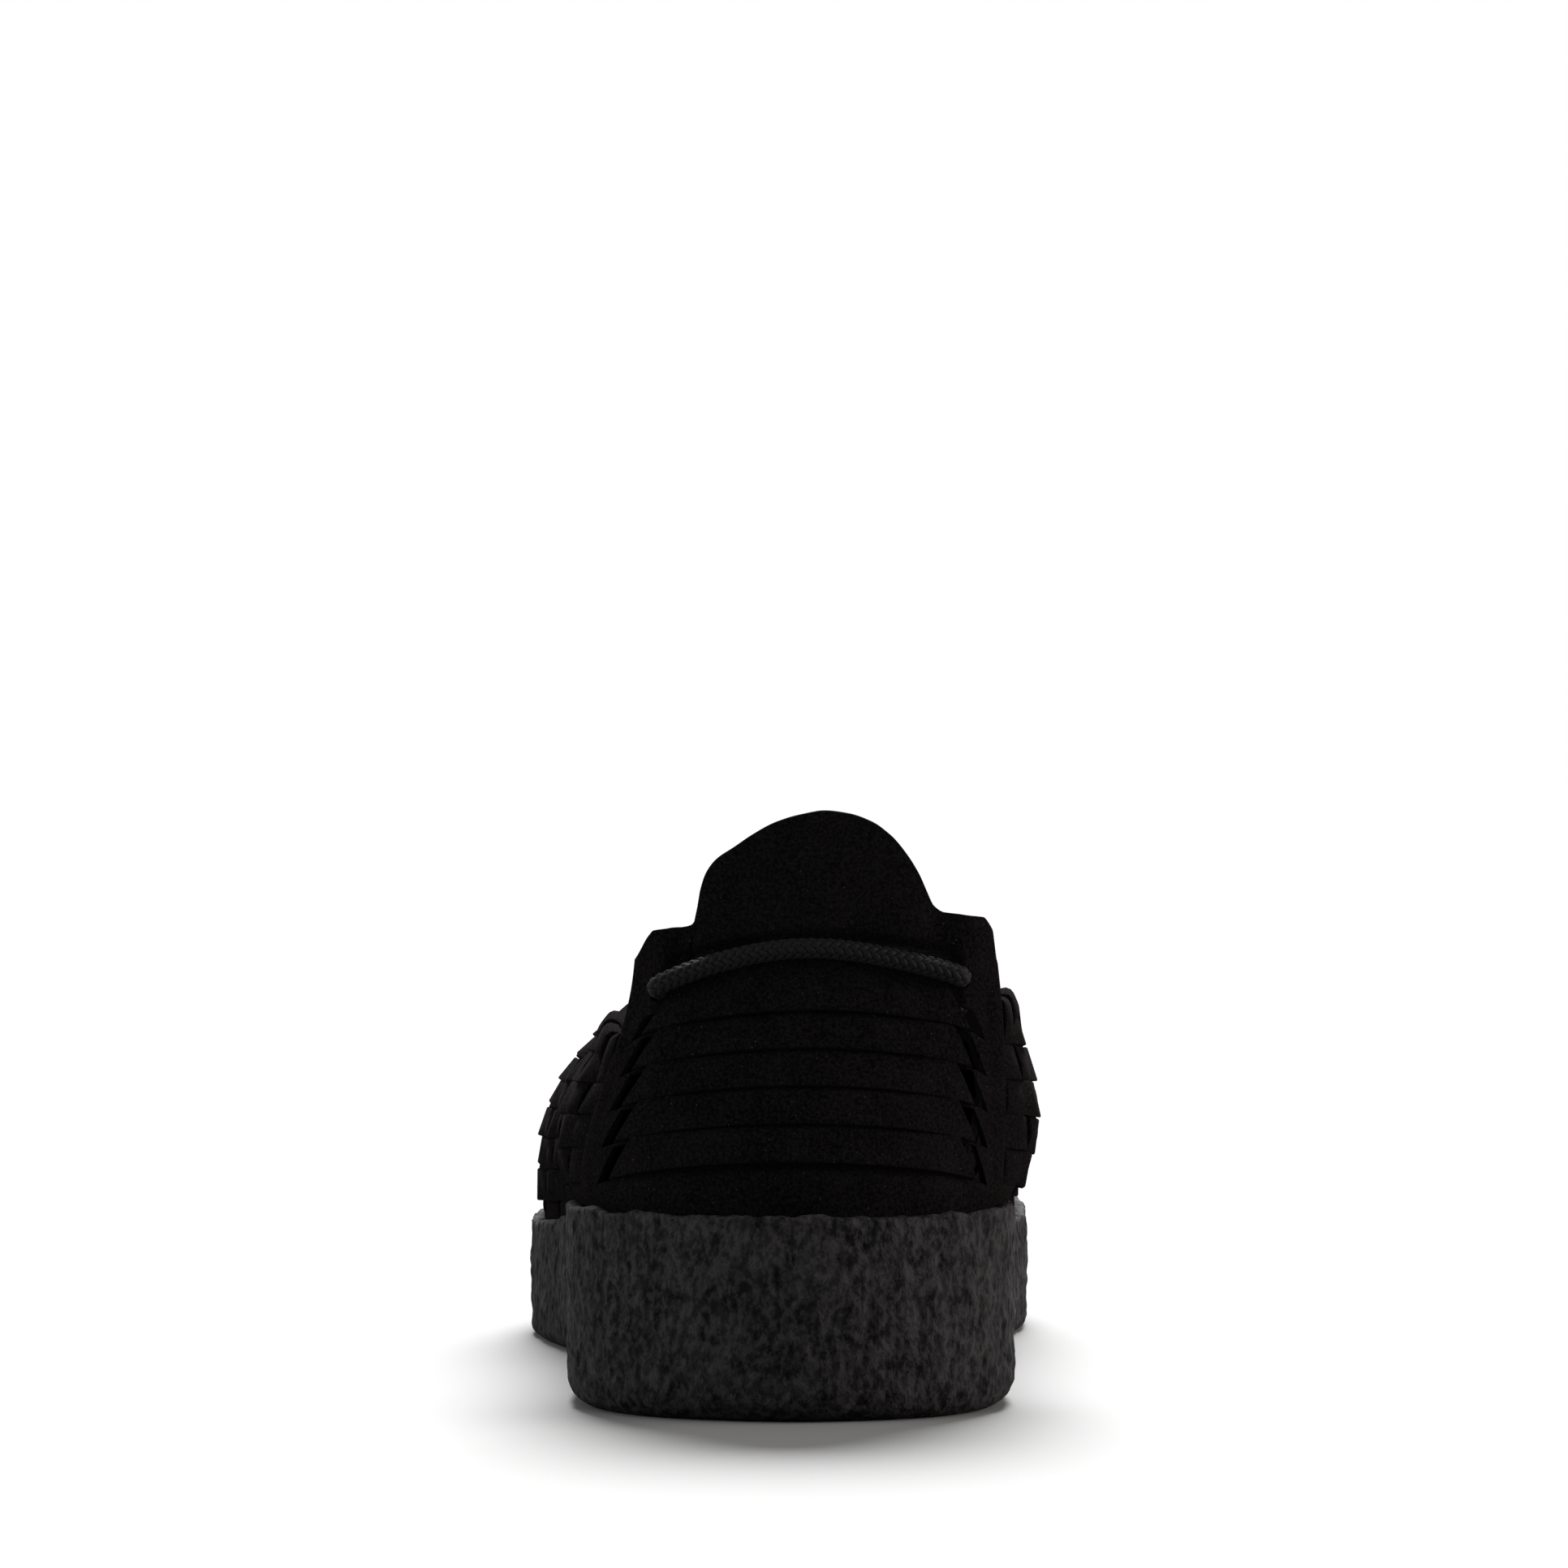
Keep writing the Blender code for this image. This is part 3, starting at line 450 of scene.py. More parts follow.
def stripBlank(width, thick, cuts, soft):
    # a straight strip of leather along Y with softened long edges; Y runs from 0 to 1
    deselect()
    bpy.ops.mesh.primitive_cube_add(size=1, location=(0, 0.5, 0), scale=(width, 1, thick))
    bpy.ops.object.transform_apply(location=True, rotation=True, scale=True)
    piece = newPiece("blank")
    bpy.ops.object.mode_set(mode="EDIT")
    bpy.ops.mesh.select_mode(type="EDGE")
    bpy.ops.mesh.select_all(action="DESELECT")
    bpy.ops.object.mode_set(mode="OBJECT")

    def markLong():
        points = readPoints(piece)
        for edge in piece.data.edges:
            a, b = edge.vertices
            edge.select = bool(abs(points[a][1] - points[b][1]) > 0.5)

    markLong()
    bpy.ops.object.mode_set(mode="EDIT")
    bpy.ops.mesh.bevel(offset=soft, segments=2, affect="EDGES")
    bpy.ops.mesh.select_all(action="DESELECT")
    bpy.ops.object.mode_set(mode="OBJECT")
    markLong()
    bpy.ops.object.mode_set(mode="EDIT")
    bpy.ops.mesh.subdivide(number_cuts=cuts)
    bpy.ops.object.mode_set(mode="OBJECT")
    return piece


def copied(blank, name, place):
    # a copy of a blank with its own mesh, laid where place(across, along, thick) says
    mesh = blank.data.copy()
    piece = bpy.data.objects.new(name, mesh)
    bpy.context.scene.collection.objects.link(piece)
    points = readPoints(piece)
    writePoints(piece, place(points[:, 0], points[:, 1], points[:, 2]))
    return piece


def discard(piece):
    bpy.data.objects.remove(piece, do_unlink=True)


# Shader expressions
class Wire:
    def __init__(self, maker, socket):
        self.maker = maker
        self.socket = socket

    def mathWith(self, operation, *others):
        return self.maker.node("ShaderNodeMath", {"operation": operation}, dict(enumerate((self, *others))))

    def __add__(self, other):
        return self.mathWith("ADD", other)

    __radd__ = __add__

    def __mul__(self, other):
        return self.mathWith("MULTIPLY", other)

    __rmul__ = __mul__

    def __rsub__(self, other):
        return self.maker.node("ShaderNodeMath", {"operation": "SUBTRACT"}, {0: other, 1: self})

    def between(self, low, high):
        # 0 under low, 1 over high
        return self.maker.node("ShaderNodeMapRange", {"interpolation_type": "SMOOTHSTEP"},
                               {"Value": self, "From Min": low, "From Max": high})


class Finish:
    def __init__(self, name, color, roughness, **sockets):
        self.material = bpy.data.materials.new(name)
        self.material.use_nodes = True
        self.tree = self.material.node_tree
        self.shader = self.tree.nodes["Principled BSDF"]
        self.shader.inputs["Base Color"].default_value = (*color, 1)
        self.shader.inputs["Roughness"].default_value = roughness
        for socket, value in sockets.items():
            self.shader.inputs[socket].default_value = value

    def put(self, socket, value):
        if isinstance(value, Wire):
            self.tree.links.new(value.socket, socket)
        elif isinstance(value, tuple) and len(value) == 3 and socket.type == "RGBA":
            socket.default_value = (*value, 1)
        else:
            socket.default_value = value

    def node(self, kind, settings, inputs, output=0):
        made = self.tree.nodes.new(kind)
        for key, value in settings.items():
            setattr(made, key, value)
        for key, value in inputs.items():
            self.put(made.inputs[key], value)
        return Wire(self, made.outputs[output])

    def place(self, scale=(1, 1, 1)):
        coordinates = self.node("ShaderNodeTexCoord", {}, {}, "Object")
        return self.node("ShaderNodeMapping", {}, {"Vector": coordinates, "Scale": scale})

    def noise(self, scale, detail=2.0, stretch=(1, 1, 1), rough=0.55):
        return self.node("ShaderNodeTexNoise", {}, {"Vector": self.place(stretch), "Scale": scale, "Detail": detail,
                                                    "Roughness": rough})

    def cells(self, scale, stretch=(1, 1, 1)):
        return self.node("ShaderNodeTexVoronoi", {}, {"Vector": self.place(stretch), "Scale": scale})

    def mixed(self, share, low, high):
        made = self.node("ShaderNodeMix", {"data_type": "RGBA"}, {})
        inputs = made.socket.node.inputs
        self.put(inputs[0], share)
        self.put(inputs[6], low)
        self.put(inputs[7], high)
        return Wire(self, made.socket.node.outputs[2])

    def color(self, value):
        self.put(self.shader.inputs["Base Color"], value)

    def roughness(self, value):
        self.put(self.shader.inputs["Roughness"], value)

    def relief(self, height, depth, strength=1.0, over=None):
        inputs = {"Height": height, "Distance": depth, "Strength": strength}
        if over is not None:
            inputs["Normal"] = over
        return self.node("ShaderNodeBump", {}, inputs)

    def normal(self, value):
        self.put(self.shader.inputs["Normal"], value)


suede = {
    "dark": (0.0007, 0.0006, 0.0006), "light": (0.0043, 0.0038, 0.0039), "lint": (0.030, 0.028, 0.026),
    "nap": 1900.0, "mottle": 150.0, "patch": 38.0, "napDepth": 0.00022, "mottleDepth": 0.0003,
    "sheen": 0.0035, "sheenRoughness": 0.45, "sheenTint": (0.9, 0.86, 0.82, 1), "lintCells": 620.0,
    "bedDark": (0.0020, 0.0018, 0.0019), "bedLight": (0.0060, 0.0056, 0.0057),
}


def suedeFinish(name, dark, light):
    finish = Finish(name, light, 0.94, **{
        "Specular IOR Level": 0.0, "Sheen Weight": suede["sheen"],
        "Sheen Roughness": suede["sheenRoughness"], "Sheen Tint": suede["sheenTint"]})
    nap = finish.noise(suede["nap"], 3.0)
    mottle = finish.noise(suede["mottle"], 3.0)
    patch = finish.noise(suede["patch"], 2.0)
    shade = nap.between(0.3, 0.72) * 0.72 + mottle.between(0.3, 0.7) * 0.16 + patch.between(0.3, 0.7) * 0.12
    lint = 1 - finish.cells(suede["lintCells"]).between(0.045, 0.075)
    finish.color(finish.mixed(lint * 0.7, finish.mixed(shade, dark, light), suede["lint"]))
    finish.roughness(0.88 + nap * 0.1)
    soft = finish.relief(mottle, suede["mottleDepth"], 0.5)
    finish.normal(finish.relief(nap, suede["napDepth"], 0.55, soft))
    return finish.material


upperSuede = suedeFinish("upperSuede", suede["dark"], suede["light"])
footbedSuede = suedeFinish("footbedSuede", suede["bedDark"], suede["bedLight"])

crumb = {
    # dark is partly a painted shade for the pits between the crumbs
    "dark": (0.0008, 0.0007, 0.0008), "light": (0.0182, 0.0171, 0.0178), "grain": 760.0, "streak": (1, 1, 0.66),
    "chunks": 620.0, "lumps": 260.0, "grainDepth": 0.0008, "chunkDepth": 0.0012,
}


def crumbFinish():
    finish = Finish("crumbRubber", crumb["light"], 0.8, **{"Specular IOR Level": 0.035})
    grain = finish.noise(crumb["grain"], 4.0, crumb["streak"], 0.7)
    chunks = finish.cells(crumb["chunks"], crumb["streak"])
    lumps = finish.noise(crumb["lumps"], 3.0, crumb["streak"], 0.6)
    # painted shade over the crumb's own grain tone: the colour follows the relief below and is darker in its pits
    # between the crumbs
    shade = grain.between(0.41, 0.60) * 0.58 + lumps.between(0.42, 0.58) * 0.26 + chunks.between(0.1, 0.75) * 0.16
    finish.color(finish.mixed(shade, crumb["dark"], crumb["light"]))
    finish.roughness(0.72 + grain * 0.25)
    coarse = finish.relief(lumps * 0.6 + chunks * 0.4, crumb["chunkDepth"], 0.8)
    finish.normal(finish.relief(grain, crumb["grainDepth"], 0.9, coarse))
    return finish.material


crumbRubber = crumbFinish()

braid = {
    # between is a painted shade colour, near-black, for where the yarns dip under one another
    "dark": (0.0025, 0.0023, 0.0026), "light": (0.0054, 0.0051, 0.0058), "between": (0.0003, 0.0003, 0.0003),
    "fibre": 5200.0, "fibreDepth": 0.00008,
}


def braidFinish():
    finish = Finish("braidYarn", braid["light"], 0.62, **{"Specular IOR Level": 0.03, "Sheen Weight": 0.002})
    fibre = finish.noise(braid["fibre"])
    # painted shade: the yarns' height attribute is low where a yarn dips under another and on its inner side, and there
    # it darkens the colour towards the near-black between colour
    height = finish.node("ShaderNodeAttribute", {"attribute_name": "height"}, {}, 2)
    yarn = finish.mixed(fibre.between(0.3, 0.7), braid["dark"], braid["light"])
    finish.color(finish.mixed(height.between(0.42, 0.88), braid["between"], yarn))
    finish.normal(finish.relief(fibre, braid["fibreDepth"], 0.6))
    return finish.material


braidYarn = braidFinish()
print("finishes made")


def finished(piece, material, slotName, *nodes):
    piece.data.materials.clear()
    piece.data.materials.append(material)
    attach(piece, "root")
    if nodes:
        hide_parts(*nodes)
    count = sum(len(p.vertices) - 2 for p in piece.data.polygons)
    print(piece.name, count, "triangles")
    return piece


# Sole: one wrapped band of crumb rubber, with a ragged rim
sole = {
    "columns": 1280, "rings": {"bed": 3, "rim": 4, "wall": 42, "edge": 9, "under": 3}, "edgeKeys": 3761,
    "lump": 0.00050, "lumpSize": 0.0026, "rag": 0.00065, "ragSize": 0.0060,
    "bulge": 0.0001, "round": 0.58, "rimRound": 0.0006, "underWide": 0.004,
}


def wobble(points, size, seed):
    return np.array([noise.noise(Vector(p / size) + Vector((seed, 0, 0))) for p in points])


def outwardTable(count):
    rows = []
    for a in np.linspace(0, loopLength, count):
        side = "lateral" if a <= sideLength["lateral"] else "medial"
        rows.append(edgeAt(side, a if side == "lateral" else loopLength - a)[1])
    return np.array(rows)


edgeTable = outwardTable(sole["edgeKeys"])


def outwardAt(share):
    # the outline's outward direction, at a share of the way round
    return edgeTable[np.round(share * (len(edgeTable) - 1)).astype(int)]


def aroundEdge(around, inset):
    # points of the sole's outline, moved in
    a = np.mod(np.asarray(around, float), loopLength)
    lateral = a <= sideLength["lateral"]
    arc = np.where(lateral, a, loopLength - a)
    runs = [[np.interp(arc, edgeReach[side], edgeRuns[side][:, k]) for k in (0, 1)] for side in ("lateral", "medial")]
    points = np.where(lateral, runs[0], runs[1]).T
    return points - outwardAt(a / loopLength) * np.broadcast_to(inset, a.shape)[:, None]


def solePlace(u, v):
    parts = list(sole["rings"].values())
    ring = v * sum(parts)
    ends = np.cumsum([0, *parts])
    around = u * loopLength
    edge = aroundEdge(around, 0.0)
    y = edge[:, 1]
    rim = rimHeight(y)
    ground = groundHeight(y)
    radius = level("edge", y) * last["edgeRound"] * sole["round"]
    shares = [np.clip((ring - ends[k]) / parts[k], 0, 1) for k in range(5)]
    inset = np.full(len(u), last["lip"])
    height = rim - last["recess"] + shares[0] * (last["recess"] - sole["rimRound"])
    half = shares[1] * math.pi
    onRim = ring > ends[1]
    inset = np.where(onRim, last["lip"] / 2 * (1 + np.cos(half)), inset)
    height = np.where(onRim, rim - sole["rimRound"] + np.sin(half) * sole["rimRound"], height)
    onWall = ring > ends[2]
    wallTop, wallLow = rim - sole["rimRound"], ground + radius
    inset = np.where(onWall, -np.sin(shares[2] * math.pi) * sole["bulge"], inset)
    height = np.where(onWall, wallTop + (wallLow - wallTop) * shares[2], height)
    onEdge = ring > ends[3]
    turn = shares[3] * math.pi / 2
    inset = np.where(onEdge, radius * (1 - np.cos(turn)), inset)
    height = np.where(onEdge, ground + radius * (1 - np.sin(turn)), height)
    onUnder = ring > ends[4]
    inset = np.where(onUnder, radius + shares[4] * sole["underWide"], inset)
    height = np.where(onUnder, ground, height)
    points = np.column_stack([aroundEdge(around, inset), height]) + toWorld
    outside = smoothStep(0, 1, (ring - ends[1]) / parts[1]) * (1 - smoothStep(0, 1, shares[3] * 1.2 - 0.2))
    tall = points * [1, 1, 0.6]
    lump = wobble(tall, sole["lumpSize"], 3.0) + 0.5 * wobble(tall, sole["lumpSize"] / 2.2, 9.0)
    flat = np.column_stack([edge, np.zeros(len(u))])
    rag = wobble(flat, sole["ragSize"], 21.0) + 0.5 * wobble(flat, sole["ragSize"] / 3, 5.0)
    points[:, :2] += outwardAt(np.mod(u, 1)) * (lump * outside * sole["lump"])[:, None]
    topShare = np.where(ring < ends[2], smoothStep(0, 1, shares[0]), 1 - smoothStep(0, 0.25, shares[2]))
    points[:, 2] += rag * sole["rag"] * topShare
    return points


soleWrap = laidGrid("soleWrap", sole["columns"], sum(sole["rings"].values()), solePlace)
closedUp(soleWrap)
smoothed(soleWrap, 60)
finished(soleWrap, crumbRubber, "crumb_rubber", "outsole")

# Insole: a soft footbed with a rounded edge
footbed = {"columns": 300, "thick": 0.0045, "roundness": 0.0012}


def footbedPlace(u, v):
    # each ring: how far in, how high
    rings = [(0.0, 0.0), (0.0, 0.7), (0.3, 0.93), (1.0, 1.0), (2.2, 0.92), (4.0, 0.75), (6.5, 0.62), (12.0, 0.58)]
    far, high = (np.interp(v * (len(rings) - 1), range(len(rings)), [r[k] for r in rings]) for k in (0, 1))
    inset = far * footbed["roundness"] + upperInset + last["leather"] + 2 * last["clearance"]
    up = high * footbed["thick"]
    edge = aroundEdge(u * loopLength, 0.0)
    height = rimHeight(edge[:, 1]) - last["recess"] + last["clearance"] + up
    return np.column_stack([aroundEdge(u * loopLength, inset), height]) + toWorld


footbedPiece = laidGrid("footbed", footbed["columns"], 7, footbedPlace)
closedUp(footbedPiece)
smoothed(footbedPiece, 50)
finished(footbedPiece, footbedSuede, "insole_suede", "insole")

# Heel wall: panel, tab, wings, slit bands and posts in one piece of thick leather
heel = {
    "columns": 260, "rows": 120, "keys": 601, "low": -0.0045, "proud": 0.0012, "sunk": 0.0012, "soft": 0.00035,
    "hollow": 0.0013, "hollowWide": 0.0042, "hollowHigh": 0.0065, "crease": ((-19.5, 86.5), (24.6, 88.0)),
    "slitSlant": 0.52, "slitInner": {"lateral": -0.35, "medial": -0.36}, "slitOuter": 0.11,
    "slitLow": -0.02, "slitHigh": (0.88, 0.88, 0.88, 0.88, 0.56), "flare": (1.2, 1.2, 2.1, 2.1, 2.1),
    "cutDeep": 0.0058, "cutMiddle": -0.0008,
    "eyelet": {"lateral": (-24.6, 73.9), "medial": (28.2, 76.3)}, "eyeletHigh": 0.0021, "eyeletWide": 0.0031,
}
rimBack = float(rimHeight(0.0))


def heelSpot(across, height):
    # where on the heel, round and up, a spot of the photo lies; both in mm
    near = np.arange(-90, 90)
    grid = lastGrid[near % loop["columns"]] - toWorld
    away = np.hypot(grid[:, :, 0] - across / 1000, grid[:, :, 2] - height / 1000)
    i, j = np.unravel_index(np.argmin(away), away.shape)
    return near[i] * loopLength / loop["columns"], reachUp[j]


heelKeys = np.linspace(-heelEnd, heelEnd, heel["keys"])


def heelTops():
    # up each column to the top edge
    tops = []
    for around in heelKeys:
        column = readLast(lastGrid, np.full(len(reachUp), around), reachUp) - toWorld
        edge = smoothThrough([p[0] for p in topLine], [p[1] for p in topLine], column[:, 0] * 1000) / 1000
        over = np.nonzero(column[:, 2] > edge)[0]
        k = max(int(over[0]), 1)
        gap = (column[k - 1, 2] - edge[k - 1], column[k, 2] - edge[k])
        tops.append(reachUp[k - 1] + loop["step"] * min(max(-gap[0] / (gap[1] - gap[0]), 0), 1))
    return np.array(tops)


heelTopUp = heelTops()
creases = [heelSpot(*spot) for spot in heel["crease"]]


def heelOut(around, up):
    arc = np.abs(around)
    low, high = rowUp(1, arc), rowUp(7, arc)
    under = smoothStep(low - 0.0022, low - 0.0002, up) * (1 - smoothStep(high - 0.001, high + 0.0015, up))
    under = under * (1 - smoothStep(panelEnd - 0.012, panelEnd - 0.007, arc))
    post = smoothStep(panelEnd - 0.001, heelEnd, arc) * smoothStep(-0.002, 0.004, up)
    crease = sum(np.exp(-((around - a) / heel["hollowWide"]) ** 2 - ((up - b) / heel["hollowHigh"]) ** 2)
                 for a, b in creases)
    return -heel["sunk"] * under + heel["proud"] * post - heel["hollow"] * crease


def heelPlace(u, v):
    around = (u - 0.5) * 2 * heelEnd
    top = np.interp(around, heelKeys, heelTopUp)
    up = heel["low"] + (top - heel["low"]) * v
    return onLast(around, up, heelOut(around, up))


heelWall = laidGrid("heelWall", heel["columns"], heel["rows"], heelPlace)
edited(heelWall, ("normals_make_consistent", {"inside": False}))
thickened(heelWall, last["leather"], heel["soft"])


def slitCutter(sign, row):
    # a slanting bar through the wall, with rounded ends
    side = "lateral" if sign > 0 else "medial"
    blank = stripBlank(1.0, 1.0, 3, 0.30)

    def place(across, along, thick):
        v = heel["slitLow"] + (heel["slitHigh"][row - 1] - heel["slitLow"]) * along
        inner, outer = heel["slitInner"][side], heel["slitOuter"]
        u = 0.5 + heel["slitSlant"] * (0.5 - v) + inner + (outer - inner) * (across + 0.5)
        arc = last["heelPanel"] + u * last["slitBand"]
        up = rowUp(row, arc) + v * last["rowPitch"]
        out = thick * heel["cutDeep"] + heel["cutMiddle"]
        # the post's side is cut back behind its face
        return onLast(sign * (arc + (across + 0.5) * np.maximum(-out, 0) * heel["flare"][row - 1]), up, out)

    cutter = copied(blank, f"slit{side}{row}", place)
    discard(blank)
    return cutter


eyelets = {side: heelSpot(*spot) for side, spot in heel["eyelet"].items()}


def eyeletCutter(sign):
    deselect()
    bpy.ops.mesh.primitive_cylinder_add(vertices=28, radius=1, depth=1)
    piece = newPiece("eyeletCutter")
    points = readPoints(piece)
    around, up = eyelets["lateral" if sign > 0 else "medial"]
    out = points[:, 2] * heel["cutDeep"] + heel["cutMiddle"]
    arc = abs(around) + points[:, 0] * heel["eyeletWide"]
    writePoints(piece, onLast(sign * arc, up + points[:, 1] * heel["eyeletHigh"], out))
    return piece


def volumeOf(piece):
    points = readPoints(piece)
    total = 0.0
    for face in piece.data.polygons:
        corners = points[list(face.vertices)]
        for k in range(1, len(corners) - 1):
            total += np.dot(corners[0], np.cross(corners[k], corners[k + 1]))
    return total / 6


def cutAway(piece, cutter):
    edited(cutter, ("normals_make_consistent", {"inside": False}))
    if volumeOf(cutter) < 0:
        edited(cutter, ("flip_normals", {}))
    chosen(piece)
    modifier = piece.modifiers.new("cut", "BOOLEAN")
    modifier.object = cutter
    modifier.operation = "DIFFERENCE"
    modifier.solver = "MANIFOLD"
    bpy.ops.object.modifier_apply(modifier=modifier.name)
    discard(cutter)


for sign in (1, -1):
    for row in range(1, 6):
        cutAway(heelWall, slitCutter(sign, row))
    cutAway(heelWall, eyeletCutter(sign))
smoothed(heelWall, 45)
finished(heelWall, upperSuede, "black_suede", "upper")

# Heel strips: five clapboards between the slits, each over the top of the one below it
strips = {
    "thick": 0.0012, "soft": 0.00030, "raise": (0.00135, 0.00080, 0.00070, 0.00080, 0.00115), "stand": 0.00025,
    "tuck": 0.0012, "dip": 0.0011, "fade": 0.7, "topRow": 6.85, "topFalls": (0.029, 0.0355),
    "along": 180, "across": 10,
}


def heelStrip(row):
    raised = strips["raise"][row - 1]

    def place(u, v):
        s = (u - 0.5) * 2
        inner = np.where(s >= 0, heel["slitInner"]["lateral"], heel["slitInner"]["medial"])
        slitEdge = 0.5 + heel["slitSlant"] * (0.5 - np.minimum(v, 1)) + inner
        arc = np.abs(s) * (last["heelPanel"] + slitEdge * last["slitBand"])
        low = rowUp(row, arc)
        high = rowUp(row + 1, arc) + strips["tuck"] if row < 5 else rowUp(strips["topRow"], arc)
        share = smoothStep(last["heelPanel"] * 0.55, last["heelPanel"], arc)
        if row == 5:
            high = high - (rowUp(strips["topRow"], arc) - rowUp(6.0, arc)) * smoothStep(*strips["topFalls"], arc)
        up = low + (high - low) * v
        # a strip's top dips behind the next strip
        dip = strips["dip"] * smoothStep(0.72, 0.90, v) * (1 - share) if row < 5 else 0
        out = raised * (1 - strips["fade"] * share) * (1 - v) ** 0.8 + strips["stand"] - dip
        return onLast(np.sign(s) * arc, up, out)

    piece = laidGrid(f"heelStrip{row}", strips["along"], strips["across"], place)
    thickened(piece, strips["thick"], strips["soft"])
    return piece


heelStrips = joined([heelStrip(row) for row in range(1, 6)], "heelStrips")
smoothed(heelStrips, 45)
finished(heelStrips, upperSuede, "black_suede")
print("heel done")

# Weave: uprights round the sides and toe, and rows that pass over and under them
weave = {
    "thick": 0.00125, "soft": 0.00034, "rowWave": 0.00112, "uprightWave": 0.00052, "middle": -0.00050,
    "rowWide": 0.00640, "lowest": -0.0040, "vampRows": 10, "overFirst": {"lateral": 0, "medial": 1},
    "fold": 0.0011, "foldDown": 0.0080, "foldOut": 0.00075, "uprightCuts": 90, "underApron": 0.004,
    "rowUnderPost": 0.0018, "rowUnderApron": 0.0030, "rowUnderCollar": 0.0012, "leastRow": 0.42, "rowCut": 0.00085,
    "tuck": 0.0011, "tuckLength": 0.004, "rowLean": 0.0005, "endCross": 0.004,
}


def uprightPlaces():
    # middle of each upright round the loop, with the parity of the rows that it covers
    places = []
    for side in ("lateral", "medial"):
        length = sideLength[side]
        count = int((length - heelEnd) / last["uprightPitch"])
        if count % 2 == weave["overFirst"][side]:
            count -= 1
        pitch = (length - heelEnd - last["uprightWidth"] / 2) / (count + 0.5)
        found = [(heelEnd + (i + 1) * pitch - last["uprightWidth"] / 2, (i + weave["overFirst"][side]) % 2)
                 for i in range(count)]
        if side == "lateral":
            places = found + [(length, (count + weave["overFirst"][side]) % 2)]
        else:
            places += [(loopLength - arc, parity) for arc, parity in found[::-1]]
    return places


uprights = uprightPlaces()
uprightAt = np.array([p[0] for p in uprights])
# one more crossing beyond each end, under the posts
crossAt = np.array([heelEnd - weave["endCross"], *uprightAt, loopLength - heelEnd + weave["endCross"]])
crossOver = np.array([1 - uprights[0][1], *[p[1] for p in uprights], 1 - uprights[-1][1]])
print("uprights", len(uprights), "alternate", bool(np.all(np.diff(crossOver) != 0)))


def flatWave(phase):
    # a wave with flat tops
    wave = np.cos(phase)
    return np.sign(wave) * np.abs(wave) ** 0.62


def weaveFoot(up):
    return smoothStep(-0.0015, 0.0035, up)


def rowOut(row, around):
    # how far a row stands out: in where an upright covers it, out where it covers the upright
    i = np.clip(np.searchsorted(crossAt, around) - 1, 0, len(crossAt) - 2)
    share = np.clip((around - crossAt[i]) / (crossAt[i + 1] - crossAt[i]), 0, 1)
    covered = (crossOver[i] == row % 2)
    sign = np.where(covered, -1.0, 1.0)
    return sign * flatWave(share * math.pi) * weave["rowWave"]


def uprightOut(parity, up):
    phase = (up - last["firstRow"]) / last["rowPitch"] + 0.5
    return (1 - 2 * parity) * flatWave(phase * math.pi) * weave["uprightWave"]


def frontOf(around):
    # where the vamp's plain apron starts, up each column
    share = np.where(around <= sideLength["lateral"], around / sideLength["lateral"],
                     (loopLength - around) / sideLength["medial"])
    band = apron["band"][0] + apron["band"][1] * smoothStep(apron["start"], apron["start"] + 0.12, share)
    most = last["firstRow"] + weave["vampRows"] * last["rowPitch"]
    return np.minimum(most, collarUp(around) - band), share


apron = {
    "start": 0.455, "over": 0.0035, "thick": 0.0014, "soft": 0.0004, "proud": 0.0010, "stand": 0.0002,
    "band": (0.0035, 0.0075), "columns": 420, "rows": 60,
}


def uprightPiece(index, middle, parity):
    middleArray = np.array([middle])
    front, share = frontOf(middleArray)
    top = float(collarUp(middleArray)[0])
    folded = float(share[0]) < apron["start"] + 0.01
    reach = top if folded else float(front[0]) + weave["underApron"]
    radius = weave["fold"]
    straight = reach - weave["lowest"]
    total = straight + (math.pi * radius + weave["foldDown"] if folded else 0)

    def place(across, along, thick):
        s = along * total
        # the fold follows the collar's slope
        topAt = collarUp(middle + across) if folded else np.full(len(s), reach)
        up = weave["lowest"] + np.minimum(s, straight) * (topAt - weave["lowest"]) / straight
        out = weave["middle"] + uprightOut(parity, up) * weaveFoot(up)
        if not folded:
            tucked = smoothStep(reach - 0.006, reach - 0.003, up)
            out = out * (1 - tucked) + (-0.0009) * tucked
            return onLast(middle + across, up, out + thick)
        near = smoothStep(-0.007, -0.002, up - topAt)
        out = out * (1 - near) + weave["foldOut"] * near
        turn = np.clip((s - straight) / radius, 0, math.pi)
        down = np.maximum(s - straight - math.pi * radius, 0)
        centre = weave["foldOut"] - radius
        folding = s > straight
        up = np.where(folding, topAt + np.sin(turn) * (radius + thick) - down, up)
        out = np.where(folding, centre + np.cos(turn) * (radius + thick), out + thick)
        return onLast(middle + across, up, out)

    return copied(uprightBlank, f"upright{index}", place)


uprightBlank = stripBlank(last["uprightWidth"], weave["thick"], weave["uprightCuts"], weave["soft"])
uprightPieces = joined([uprightPiece(i, middle, parity) for i, (middle, parity) in enumerate(uprights)], "uprights")
discard(uprightBlank)
smoothed(uprightPieces, 50)
finished(uprightPieces, upperSuede, "black_suede")


